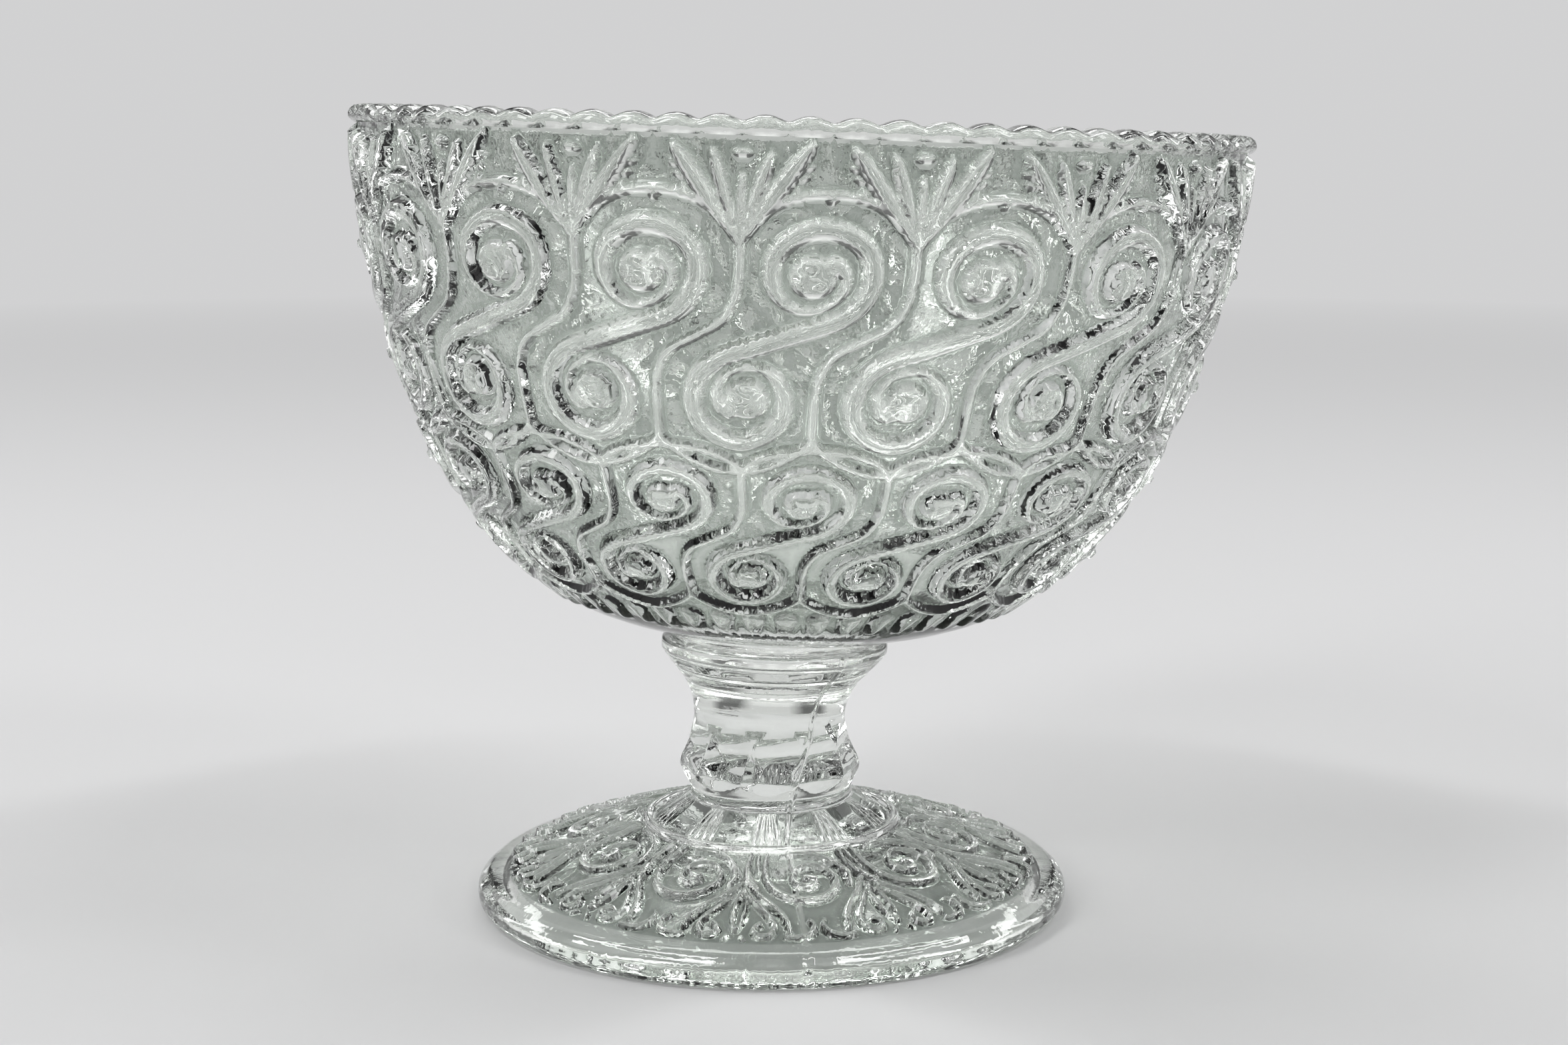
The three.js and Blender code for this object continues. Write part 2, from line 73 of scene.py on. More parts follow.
# Attribute of painted light: low is painted shade at the ridges' feet, high a painted highlight on
# their edges
PAINTED_LIGHT = "painted_light"
Array = np.ndarray


class Side(Enum):
    """Which side of a ridge's middle line a distance is taken to."""

    FOOT = 0
    CREST = 1


# Curves


def smooth_path(points: Array, spacing: float, closed: bool = False) -> Array:
    """Runs a Catmull-Rom curve through points and cuts it into even steps.

    Between two points the curve is the cubic whose slope at each is half the way
    between its neighbours.

    Args:
        points: Points to pass through, one a row.
        spacing: Longest step wanted along the curve.
        closed: Whether the last point leads back to the first.

    Returns:
        Points at even steps of arc length.
    """
    points = np.asarray(points, float)
    ends = (points[-1:], points[:1], points[1:2]) if closed else (points[:1], points[-1:])
    padded = np.concatenate([ends[0], points, *ends[1:]])
    t = np.linspace(0, 1, CURVE_STEPS, endpoint=False)[None, :, None]
    a, b, c, d = (padded[i : len(padded) - 3 + i, None, :] for i in range(4))
    dense = 0.5 * (
        2 * b + (c - a) * t + (2 * a - 5 * b + 4 * c - d) * t**2
        + (3 * b - a - 3 * c + d) * t**3
    )
    dense = np.concatenate([dense.reshape(-1, points.shape[1]), padded[-2:-1]])
    reach = np.concatenate([[0], np.cumsum(np.linalg.norm(np.diff(dense, axis=0), axis=1))])
    count = max(int(math.ceil(reach[-1] / spacing)), 2)
    even = np.linspace(0, reach[-1], count + 1)
    return np.stack([np.interp(even, reach, dense[:, k]) for k in range(points.shape[1])], 1)


def smooth_step(value: Array, low: float, high: float) -> Array:
    """Rises from 0 at low to 1 at high as three squares less two cubes."""
    share = np.clip((value - low) / (high - low), 0, 1)
    return share * share * (3 - 2 * share)


def rounded_off(line: Array, reach: int = 4) -> Array:
    """Smooths an even line: twice, each point becomes the mean of its neighbourhood.

    Args:
        line: Points at even steps, one a row.
        reach: Points averaged on each side. As many at each end stay where they are.

    Returns:
        The smoothed line.
    """
    line = line.copy()
    window = np.ones(2 * reach + 1) / (2 * reach + 1)
    for _ in range(2):
        for column in line.T:
            column[reach:-reach] = np.convolve(column, window, "valid")
    return line


def half_turned(half: Array) -> Array:
    """A path from a middle point, led on by the same path turned half round it.

    Only the two places of a row change sides. A width after them stays as it is.

    Args:
        half: Places, and perhaps a width, from the middle point outwards.

    Returns:
        The whole path, from the turned end to the given one.
    """
    turned_back = half[:0:-1].copy()
    turned_back[:, :2] *= -1
    return np.concatenate([turned_back, half])


@dataclass
class Outline:
    """Profile of a turned shape as radius and height against its length."""

    points: Array

    def __post_init__(self) -> None:
        """Smooths the points and measures along them."""
        self.line = smooth_path(self.points, PROFILE_STEP)
        steps = np.linalg.norm(np.diff(self.line, axis=0), axis=1)
        self.reach = np.concatenate([[0], np.cumsum(steps)])
        self.slope = np.gradient(self.line, self.reach, axis=0)
        self.slope /= np.linalg.norm(self.slope, axis=1)[:, None]

    @property
    def length(self) -> float:
        """Length of the whole profile."""
        return float(self.reach[-1])

    def at(self, along: Array, lift: Array = 0.0) -> tuple[Array, Array]:
        """Radius and height of places along the profile, lifted off it at right angles.

        Args:
            along: Lengths from the profile's start.
            lift: Heights above the profile, outwards.

        Returns:
            The radii and the heights.
        """
        radius, height, run, rise = (
            np.interp(along, self.reach, values)
            for values in (*self.line.T, *self.slope.T)
        )
        return radius + rise * lift, height - run * lift


# Relief


@dataclass
class Ridge:
    """A raised band along a path of the chart: across in repeats, up in millimetres."""

    path: Array
    half: Array
    rise: float
    slope: float = 0.5
    dome: float = 0.0
    rounded: bool = False

    def measure(self, u: Array, v: Array, wide: Array) -> tuple[Array, Array, Array]:
        """Distances of chart places to the path's nearest point.

        Each stretch of the path is a straight line, and a place's foot on it is found
        by its share of the stretch, kept between the ends.

        Args:
            u: Places across, in repeats.
            v: Places up, in millimetres.
            wide: Millimetres to a repeat at each place.

        Returns:
            The distance, the ridge's half width there and the unit way to the place.
        """
        start, end = self.path[:-1], self.path[1:]
        du = (u[:, None] - start[None, :, 0]) * wide[:, None]
        dv = v[:, None] - start[None, :, 1]
        su = (end - start)[None, :, 0] * wide[:, None]
        sv = np.broadcast_to((end - start)[None, :, 1], su.shape)
        share = np.clip((du * su + dv * sv) / np.maximum(su**2 + sv**2, TINY), 0, 1)
        ru, rv = du - share * su, dv - share * sv
        square = ru**2 + rv**2
        best = np.argmin(square, axis=1)
        row = np.arange(len(u))
        distance = np.sqrt(square[row, best])
        half = self.half[best] + share[row, best] * (self.half[best + 1] - self.half[best])
        way = np.stack([ru[row, best], rv[row, best]], 1)
        return distance, half, way / np.maximum(distance, TINY)[:, None]

    def height(self, distance: Array, half: Array) -> Array:
        """Height of the ridge at distances from its middle line.

        A rounded one has an arc for a section, near enough a half ellipse. Any other has
        a straight slope on each side, up to a top that is slightly domed.

        Args:
            distance: Distances from the middle line.
            half: The ridge's half width at each place.

        Returns:
            The heights, none outside the ridge.
        """
        if self.rounded:
            inner = np.clip(1 - (distance / np.maximum(half, TINY)) ** 2, 0, 1)
            return self.rise * inner**ARC_POWER
        slope = np.minimum(self.slope, half)
        up = np.clip((half - distance) / np.maximum(slope, TINY), 0, 1)
        flat = np.maximum(half - slope, TINY)
        crown = self.dome * np.clip(1 - (distance / flat) ** 2, 0, 1)
        return np.where(half > TINY, self.rise * up + crown * (up >= 1), 0.0)


@dataclass
class Relief:
    """All the ridges of one repeat, with those of its neighbours on both sides."""

    ridges: list[Ridge]
    wide: Callable[[Array], Array]
    # Largest move of a grid place, as a share of a step
    snap: float = 0.49
    # Repeats beside a ridge in which it is looked for
    margin: float = 0.3
    # Least half width of a ridge's top that has an edge of its own
    least_top: float = 0.05
    # Painted light, painted shade at ridges' feet and painted highlight at tops' edges: widths
    # over which it rises, its level on open ground, and the flats' loss
    open_ground_light: float = 0.36
    open_width: tuple[float, float] = (0.1, 1.3)
    edge_width: float = 0.4
    flat_loss: float = 0.34
    flat_width: tuple[float, float] = (0.5, 1.0)

    def rows(self, u: Array, v: Array) -> tuple[Array, Array, Array, Array]:
        """Works out the relief over one repeat's grid and draws the grid to its edges.

        The height is the greatest of all ridges' heights. A grid place less than half
        a step from a ridge's foot or from the edge of its top moves onto that line, so
        that the edges stay crisp on a coarse grid and no two places meet. The painted
        light is 1 along the edges of a ridge's top, a painted highlight, and a third less
        on the flat between them. It falls to 0 along the ridge's feet, a painted shade
        where the relief meets the ground, and rises again to about a third on open ground.

        Args:
            u: Grid places across.
            v: Grid places up.

        Returns:
            The moved places across and up, the heights and the painted light, as grids of rows.
        """
        gu, gv = (grid.ravel() for grid in np.meshgrid(u, v))
        _, _, miss, way = self._field(gu, gv)
        keep = (gv > v[0] + TINY) & (gv < v[-1] - TINY)
        step = np.hypot(way[:, 0] * self.wide(gv) * (u[1] - u[0]), way[:, 1] * (v[1] - v[0]))
        move = np.where(keep & (np.abs(miss) < step * self.snap), -miss, 0.0)
        gu = gu + way[:, 0] * move / self.wide(gv)
        gv = gv + way[:, 1] * move
        height, gap, _, _ = self._field(gu, gv)
        # Painted light: painted shade along the ridges' feet, painted highlights along the edges
        # of their tops
        ground = self.open_ground_light * smooth_step(gap, *self.open_width)
        top = smooth_step(-gap, 0.0, self.edge_width)
        top = top - self.flat_loss * smooth_step(-gap, *self.flat_width)
        painted_light = np.where(gap < 0, top, ground)
        return tuple(grid.reshape(len(v), len(u)) for grid in (gu, gv, height, painted_light))

    def _field(self, u: Array, v: Array) -> tuple[Array, Array, Array, Array]:
        """Relief and nearest edge line at places.

        Args:
            u: Places across.
            v: Places up.

        Returns:
            The heights, the gaps to the nearest ridge's foot, less than none on a ridge,
            the distances past the nearest edge line, and the unit ways to them.
        """
        wide = self.wide(v)
        height, way = np.zeros(len(u)), np.zeros((len(u), 2))
        gap, nearest, miss = (np.full(len(u), FAR) for _ in range(3))
        for ridge in self.ridges:
            for shift in (-1, 0, 1):
                low, high = ridge.path[:, 0].min() + shift, ridge.path[:, 0].max() + shift
                near = np.flatnonzero((u > low - self.margin) & (u < high + self.margin))
                if not len(near):
                    continue
                distance, half, to = ridge.measure(u[near] - shift, v[near], wide[near])
                height[near] = np.maximum(height[near], ridge.height(distance, half))
                gap[near] = np.minimum(gap[near], distance - half)
                for side in (Side.FOOT,) if ridge.rounded else Side:
                    line = half if side is Side.FOOT else half - ridge.slope
                    off = np.where(line > self.least_top, distance - line, FAR)
                    closer = np.abs(off) < nearest[near]
                    where = near[closer]
                    nearest[where] = np.abs(off[closer])
                    miss[where], way[where] = off[closer], to[closer]
        return height, gap, miss, way


# Meshes


class Skin:
    """A closed skin of triangles, gathered as rows of points round an axis.

    Faces get the slot and the part that are set when they are added. A skin too fine
    for one mesh is built as several parts, which share their points' normals, so that
    nothing shows where they meet.
    """

    def __init__(self) -> None:
        """Starts with no points and no faces."""
        self.points: list[Array] = []
        self.painted_light: list[Array] = []
        self.faces: list[Array] = []
        self.labels: list[Array] = []
        self.count = 0
        self.slot = 0
        self.part = 0

    def row(self, points: Array, painted_light: Array | float = 1.0) -> Array:
        """Adds points with their painted light.

        Args:
            points: Points of the row.
            painted_light: Painted shade and highlight, one value for all, or one for each.

        Returns:
            The points' numbers.
        """
        points = np.asarray(points, float).reshape(-1, 3)
        self.points.append(points)
        self.painted_light.append(np.broadcast_to(painted_light, len(points)))
        self.count += len(points)
        return np.arange(self.count - len(points), self.count)

    def _add(self, faces: Array) -> None:
        """Adds faces of the present slot and part."""
        self.faces.append(faces)
        self.labels.append(np.tile([self.slot, self.part], (len(faces), 1)))

    def band(self, low: Array, high: Array) -> None:
        """Joins two rows of as many points, each square cut along its flatter diagonal.

        A diagonal is flatter when its ends differ less in radius and height together.

        Args:
            low: The row that comes first on the way outwards and up.
            high: The row after it.
        """
        points = np.concatenate(self.points)
        a, b, d, c = low, np.roll(low, -1), high, np.roll(high, -1)
        rim = np.hypot(points[:, 0], points[:, 1])
        first = np.abs(rim[a] - rim[c]) + np.abs(points[a, 2] - points[c, 2])
        second = np.abs(rim[b] - rim[d]) + np.abs(points[b, 2] - points[d, 2])
        cut = (first <= second)[:, None]
        one = np.where(cut, np.stack([a, b, c], 1), np.stack([a, b, d], 1))
        two = np.where(cut, np.stack([a, c, d], 1), np.stack([b, c, d], 1))
        self._add(np.concatenate([one, two]))

    def bands(self, rows: Sequence[Array]) -> None:
        """Joins rows of as many points, each to the one before."""
        for low, high in zip(rows[:-1], rows[1:]):
            self.band(low, high)

    def thinned(self, low: Array, high: Array, flip: bool = False) -> None:
        """Joins a row to a later one with a whole fraction of its points.

        Each point of the shorter row fans out over its share of the longer row, and one
        more triangle closes the step to its neighbour.

        Args:
            low: The longer row.
            high: The shorter row.
            flip: Whether the faces look to the other side.
        """
        ratio = len(low) // len(high)
        owner = np.roll(np.repeat(high, ratio), -(ratio // 2))
        fan = np.stack([low, np.roll(low, -1), owner], 1)
        turn = owner != np.roll(owner, -1)
        step = np.stack([np.roll(low, -1)[turn], np.roll(owner, -1)[turn], owner[turn]], 1)
        faces = np.concatenate([fan, step])
        self._add(faces[:, ::-1] if flip else faces)

    def pole(self, ring: Array, point: Sequence[float], below: bool) -> None:
        """Closes a ring with a point on the axis, under it or over it.

        Args:
            ring: The ring's points.
            point: The point on the axis.
            below: Whether the faces look down.
        """
        middle = np.repeat(self.row([point]), len(ring))
        after = np.roll(ring, -1)
        order = [middle, after, ring] if below else [ring, after, middle]
        self._add(np.stack(order, 1))

    def build(self, name: str, place: Callable[[Array], Array],
              materials: Sequence[bpy.types.Material], part: int = 0) -> bpy.types.Object:
        """Makes the mesh object of one part.

        Args:
            name: The piece's name.
            place: Moves points from the piece's own frame to the row frame.
            materials: The materials of the slots, in order.
            part: The part to build.

        Returns:
            The object, with smooth faces.
        """
        points = place(np.concatenate(self.points)) * METRES
        faces, labels = np.concatenate(self.faces), np.concatenate(self.labels)
        normals = self._normals(points, faces[labels[:, 0] == 0])
        mine = labels[:, 1] == part
        used, faces = np.unique(faces[mine], return_inverse=True)
        faces = faces.reshape(-1, 3).astype(np.int32)
        mesh = bpy.data.meshes.new(name)
        mesh.vertices.add(len(used))
        mesh.loops.add(faces.size)
        mesh.polygons.add(len(faces))
        for data, key, values in (
            (mesh.vertices, "co", points[used].astype(np.float32)),
            (mesh.loops, "vertex_index", faces),
            (mesh.polygons, "loop_start", np.arange(0, faces.size, 3, dtype=np.int32)),
            (mesh.polygons, "material_index", labels[mine, 0].astype(np.int32)),
            (mesh.polygons, "use_smooth", np.ones(len(faces), bool)),
        ):
            data.foreach_set(key, values.ravel())
        mesh.update(calc_edges=True)
        # The painted light, which the glass shader turns into painted shade and painted highlights
        painted_light = mesh.attributes.new(PAINTED_LIGHT, "FLOAT", "POINT")
        painted_light.data.foreach_set("value", np.concatenate(self.painted_light)[used].astype(np.float32))
        mesh.normals_split_custom_set_from_vertices(normals[used].tolist())
        for material in materials:
            mesh.materials.append(material)
        piece = bpy.data.objects.new(name, mesh)
        bpy.context.scene.collection.objects.link(piece)
        LOG.info("%s: %d triangles", name, len(faces))
        return piece

    @staticmethod
    def _normals(points: Array, glass: Array) -> Array:
        """Normals of all points: sums of the glass faces' normals, scaled to length one.

        A face's normal is the cross product of two of its edges, so it counts by the
        face's area.

        Args:
            points: All points.
            glass: The glass faces of all parts.

        Returns:
            One normal for each point.
        """
        a, b, c = (points[glass[:, i]] for i in range(3))
        lean = np.cross(b - a, c - a)
        normals = np.stack([
            sum(np.bincount(glass[:, i], lean[:, k], len(points)) for i in range(3))
            for k in range(3)
        ], 1)
        return normals / np.maximum(np.linalg.norm(normals, axis=1), TINY**3)[:, None]


def turned(radius: Array, height: Array, degrees: Array) -> Array:
    """Points round the axis: sideways by the sine, towards the front by the cosine.

    Args:
        radius: Distances from the axis, or one for all.
        height: Heights, or one for all.
        degrees: Angles from the front.

    Returns:
        The points, one a row.
    """
    angle = np.radians(degrees)
    radius, height, angle = np.broadcast_arrays(radius, height, angle)
    return np.stack([radius * np.sin(angle), -radius * np.cos(angle), height], -1)


# Shading


class Value:
    """A shader socket that takes part in sums, products and powers."""

    def __init__(self, tree: bpy.types.NodeTree, socket: bpy.types.NodeSocket) -> None:
        """Wraps a socket of a node tree."""
        self.tree = tree
        self.socket = socket

    def _math(self, operation: str, *values: "Value | float", clamp: bool = False) -> "Value":
        """Adds a Math node.

        Args:
            operation: The node's operation.
            values: What goes into its sockets, in order.
            clamp: Whether the result is kept between none and all.

        Returns:
            The node's result.
        """
        node = self.tree.nodes.new("ShaderNodeMath")
        node.operation, node.use_clamp = operation, clamp
        for socket, value in zip(node.inputs, values):
            if isinstance(value, Value):
                self.tree.links.new(value.socket, socket)
            else:
                socket.default_value = value
        return Value(self.tree, node.outputs[0])

    def __add__(self, other: "Value | float") -> "Value":
        """Sum."""
        return self._math("ADD", self, other)

    __radd__ = __add__

    def __sub__(self, other: "Value | float") -> "Value":
        """Difference."""
        return self._math("SUBTRACT", self, other)

    def __rsub__(self, other: float) -> "Value":
        """Difference from a number."""
        return self._math("SUBTRACT", other, self)

    def __mul__(self, other: "Value | float") -> "Value":
        """Product."""
        return self._math("MULTIPLY", self, other)

    __rmul__ = __mul__

    def __pow__(self, other: float) -> "Value":
        """Power."""
        return self._math("POWER", self, other)

    def turn(self, other: "Value") -> "Value":
        """Share of a full turn of the direction with this rise and the other's run."""
        return self._math("ARCTAN2", self, other) * (1 / math.tau)

    def stripe(self, count: int, width: float, soft: float = 0.09) -> "Value":
        """Some stripes to each whole: nearly all in a stripe's width, else nearly none."""
        off = self._math("ABSOLUTE", self._math("FRACT", self * count) - 0.5)
        return off.between(width / 2 + soft, width / 2 - soft)

    def most(self, other: "Value | float") -> "Value":
        """The larger of two."""
        return self._math("MAXIMUM", self, other)

    def between(self, low: float, high: float) -> "Value":
        """Share of the way from low to high, kept between none and all."""
        span = high - low
        return self._math("MULTIPLY_ADD", self, 1 / span, -low / span, clamp=True)


class Shader:
    """The node tree of a material, or of the world, with one way to add a node."""

    def __init__(self, name: str, owner: bpy.types.ID | None = None) -> None:
        """Makes a material, or takes the owner of a tree, and empties the tree.

        Args:
            name: The material's name.
            owner: The world, where the tree is a world's.
        """
        self.material = owner or bpy.data.materials.new(name)
        self.material.use_nodes = True
        self.tree = self.material.node_tree
        self.tree.nodes.clear()

    def node(self, kind: str, settings: dict | None = None, **inputs: object) -> bpy.types.Node:
        """Adds a node, sets its settings, then its sockets.

        Args:
            kind: Node type without its ShaderNode prefix.
            settings: Properties to set first.
            inputs: Socket names, with _ for a space, and what goes into them.

        Returns:
            The node.
        """
        node = self.tree.nodes.new("ShaderNode" + kind)
        for key, value in (settings or {}).items():
            setattr(node, key, value)
        for key, value in inputs.items():
            socket = node.inputs[key.replace("_", " ")]
            if isinstance(value, Value):
                self.tree.links.new(value.socket, socket)
            elif isinstance(value, bpy.types.NodeSocket):
                self.tree.links.new(value, socket)
            else:
                socket.default_value = value
        return node

    def noise(self, scale: float, detail: float = 2.0, stretch: Sequence[float] = (1, 1, 1),
              seed: float = 0.0) -> Value:
        """Noise over Object coordinates.

        Args:
            scale: Features to a metre.
            detail: Finer layers added to the first.
            stretch: How much denser the features are along each axis.
            seed: Shift along every axis, so that two noises differ.

        Returns:
            The noise, from none to all and mostly near one half.
        """
        place = self.node("TexCoord").outputs["Object"]
        shift = self.node("Mapping", Vector=place, Scale=tuple(stretch), Location=(seed,) * 3)
        cloud = self.node("TexNoise", Vector=shift.outputs[0], Scale=scale, Detail=detail)
        return Value(self.tree, cloud.outputs[0])

    def finish(self, surface: bpy.types.NodeSocket) -> bpy.types.Material:
        """Leads a surface to the output.

        Args:
            surface: The shader socket of the surface.

        Returns:
            The material.
        """
        output = self.node("OutputMaterial")
        self.tree.links.new(surface, output.inputs["Surface"])
        return self.material


@dataclass(frozen=True)
class GlassFinish:
    """Clear pressed glass: faint tint, soft ripples, a few dull patches of handling."""

    name: str
    tint: tuple[float, float, float]
    # Tint where the painted light is none: a painted shade at the ridges' feet
    shaded_tint: tuple[float, float, float] = (0.35, 0.395, 0.355)
    index: float = 1.5
    # Ripples: strength, size of the broad ones, stretch, and what the fine ones add
    ripple: float = 0.05
    ripple_scale: float = 190.0
    streak: tuple[float, float, float] = (1.0, 1.0, 1.0)
    fine_times: float = 4.0
    fine_share: float = 0.22
    swell_height: float = 0.002
    # Roughness: of clean glass, what a dull patch adds, and where a patch is
    clean: float = 0.004
    dull: float = 0.035
    patch_scale: float = 60.0
    patch_level: tuple[float, float] = (0.55, 0.75)

    def material(self) -> bpy.types.Material:
        """Builds the material.

        The tint goes from a painted shade at the ridges' feet to clear, a painted
        highlight on their edges, with the painted light. Roughness is a low value with
        dull patches where noise is high. The surface swells by two sizes of ripple, as
        a skin that cooled against iron does.

        Returns:
            The material.
        """
        shader = Shader(self.name)
        # The painted light darkens the tint to a painted shade at ridge feet and keeps it clear as
        # a painted highlight on edges
        attribute = shader.node("Attribute", {"attribute_name": PAINTED_LIGHT})
        painted_light = Value(shader.tree, attribute.outputs["Fac"])
        tint = shader.node("CombineColor", **{
            channel: painted_light * (clear - shaded_tint) + shaded_tint
            for channel, clear, shaded_tint in zip(("Red", "Green", "Blue"), self.tint, self.shaded_tint)
        })
        patches = shader.noise(self.patch_scale, 3.0).between(*self.patch_level)
        broad = shader.noise(self.ripple_scale, 1.0, self.streak)
        fine = shader.noise(self.ripple_scale * self.fine_times, 2.0, self.streak, seed=3.0)
        bump = shader.node("Bump", Strength=self.ripple, Distance=self.swell_height,
                           Height=broad + fine * self.fine_share)
        glass = shader.node(
            "BsdfPrincipled", Base_Color=tint.outputs[0], Transmission_Weight=1.0,
            IOR=self.index, Roughness=patches * self.dull + self.clean,
            Normal=bump.outputs[0],
        )
        return shader.finish(glass.outputs[0])


@dataclass(frozen=True)
class JointFinish:
    """Glass fused to glass: light goes through with nothing to bend it."""

    name: str = "fused_joint"

    def material(self) -> bpy.types.Material:
        """Builds the material, wholly clear.

        Returns:
            The material.
        """
        shader = Shader(self.name)
        glass = shader.node("BsdfPrincipled", Base_Color=(1, 1, 1, 1), Alpha=0.0)
        return shader.finish(glass.outputs[0])


# The object


@dataclass
class Stance:
    """Where the foot stands, and how the bowl leans on it."""

    foot: tuple[float, float]
    # Lean of the bowl and where it leans to, from +X, then how soft glass gave way:
    # the seat's drift that way and the stem's sway against it
    lean: float = 2.3
    heading: float = 25.5
    drift: float = 0.5
    sway: float = 0.6
    # Heights of the stem's two ends, and the bowl's shift along its seat
    collar_top: float = 36.0
    foot_rise: float = 14.3
    bowl_shift: float = 1.3

    @property
    def way(self) -> Array:
        """Level unit direction of the lean."""
        angle = math.radians(self.heading)
        return np.array([math.cos(angle), math.sin(angle), 0.0])

    def on_foot(self, points: Array) -> Array:
        """Places stem and foot, whose soft stem sways and leans with height.

        With the share of the way up the stem eased in and out, the sway is a half sine
        and the lean turns each level section about the line across the heading.

        Args:
            points: Points round an upright axis, from the table up.

        Returns:
            The points where they stand.
        """
        stem = self.collar_top - self.foot_rise
        share = np.clip((points[:, 2] - self.foot_rise) / stem, 0, 1)
        ease = smooth_step(points[:, 2], self.foot_rise, self.collar_top)
        arm = points @ self.way
        lean = math.radians(self.lean) * ease
        along = self.drift * ease - self.sway * np.sin(np.pi * share) - arm * (1 - np.cos(lean))
        moved = points + along[:, None] * self.way
        moved[:, 2] -= arm * np.sin(lean)
        return moved + np.array([*self.foot, 0.0])

    def on_seat(self, points: Array, share: float = 1.0) -> Array:
        """Places wafer and bowl: turned by the lean and shifted along the seat.

        Args:
            points: Points round an upright axis, from the seat up.
            share: Share of the bowl's own shift that the piece takes.

        Returns:
            The points where they stand.
        """
        angle = math.radians(self.lean)
        way, up = self.way, np.array([0.0, 0.0, 1.0])
        axis = np.cross(up, way)
        points = points + self.bowl_shift * share * way
        arm, height, across = points @ way, points[:, 2], points @ axis
        tilted_way = math.cos(angle) * way - math.sin(angle) * up
        tilted_up = math.sin(angle) * way + math.cos(angle) * up
        moved = arm[:, None] * tilted_way + height[:, None] * tilted_up + across[:, None] * axis
        seat = self.drift * way + np.array([*self.foot, self.collar_top])
        return moved + seat


@dataclass
class GlassPiece:
    """What every piece of glass has: its place, its dress and the joint it is fused at."""

    stance: Stance
    glass: bpy.types.Material
    joint: bpy.types.Material
    # Radius inside which the glass is fused to its neighbour
    contact: float = 13.2

    @property
    def materials(self) -> list[bpy.types.Material]:
        """Materials of a skin's slots."""
        return [self.glass, self.joint]


@dataclass
class OrnamentedPiece(GlassPiece):
    """A turned piece of glass whose outside repeats one ornament all round."""

    radius: float = 1.0
    height: float = 1.0
    outline: tuple[tuple[float, float], ...] = ()
    # Repeats of the ornament, angle of the first, its grid's cells and where they start
    repeats: int = 1
    turn: float = 0.0
    cells_across: int = 1
    grid_start: float = 0.0
    # Heights of a seam at which its painted highlight starts and is full
    seam_highlight: tuple[float, float] = (0.05, 0.2)

    def __post_init__(self) -> None:
        """Works out the profile and the places across, in repeats, with their angles."""
        self.skin = Skin()
        self.profile = Outline(np.array(self.outline) * [self.radius, self.height])
        cells = np.arange(self.repeats * self.cells_across)
        self.across = self.grid_start + cells / self.cells_across
        self.degrees = self.turn + self.across * FULL_TURN / self.repeats

    @property
    def pitch(self) -> float:
        """Angle of one repeat."""
        return FULL_TURN / self.repeats

    def wide(self, up: Array) -> Array:
        """Millimetres to a repeat at places up the outside."""
        return self.profile.at(up)[0] * math.radians(self.pitch)

    def seam(self, degrees: Array, height: Array) -> Array:
        """Height of the mould's seam, which is none unless a piece has one."""
        return np.zeros(np.broadcast(degrees, height).shape)

    def smooth(self, radii: Sequence[float], heights: Sequence[float]) -> list[Array]:
        """Adds plain rows of one radius and height each."""
        return [self.skin.row(turned(r, z, self.degrees)) for r, z in zip(radii, heights)]

    def ornament(self, ridges: list[Ridge], v: Array) -> list[Array]:
        """Adds the rows of the relief all round, under the seam where that is higher.

        Args:
            ridges: The ridges of one repeat.
            v: Grid places up the profile.

        Returns:
            The rows.
        """
        rows = []
        u = self.across[: self.cells_across]
        for row in zip(*Relief(ridges, self.wide).rows(u, v)):
            across = row[0][None, :] + np.arange(self.repeats)[:, None]
            degrees = (self.turn + across * self.pitch).ravel()
            along, lift, painted_light = (np.tile(values, self.repeats) for values in row[1:])
            fin = self.seam(degrees, self.profile.at(along)[1])
            points = turned(*self.profile.at(along, np.maximum(lift, fin)), degrees)
            # The seam's fin gets a painted highlight
            painted_light = np.maximum(painted_light, smooth_step(fin, *self.seam_highlight))
            rows.append(self.skin.row(points, painted_light))
        return rows


def bump(start: Sequence[float], end: Sequence[float], half: float, rise: float) -> Ridge:
    """A short rounded ridge from one place to another."""
    return Ridge(np.array([start, end]), np.full(2, half), rise, rounded=True)


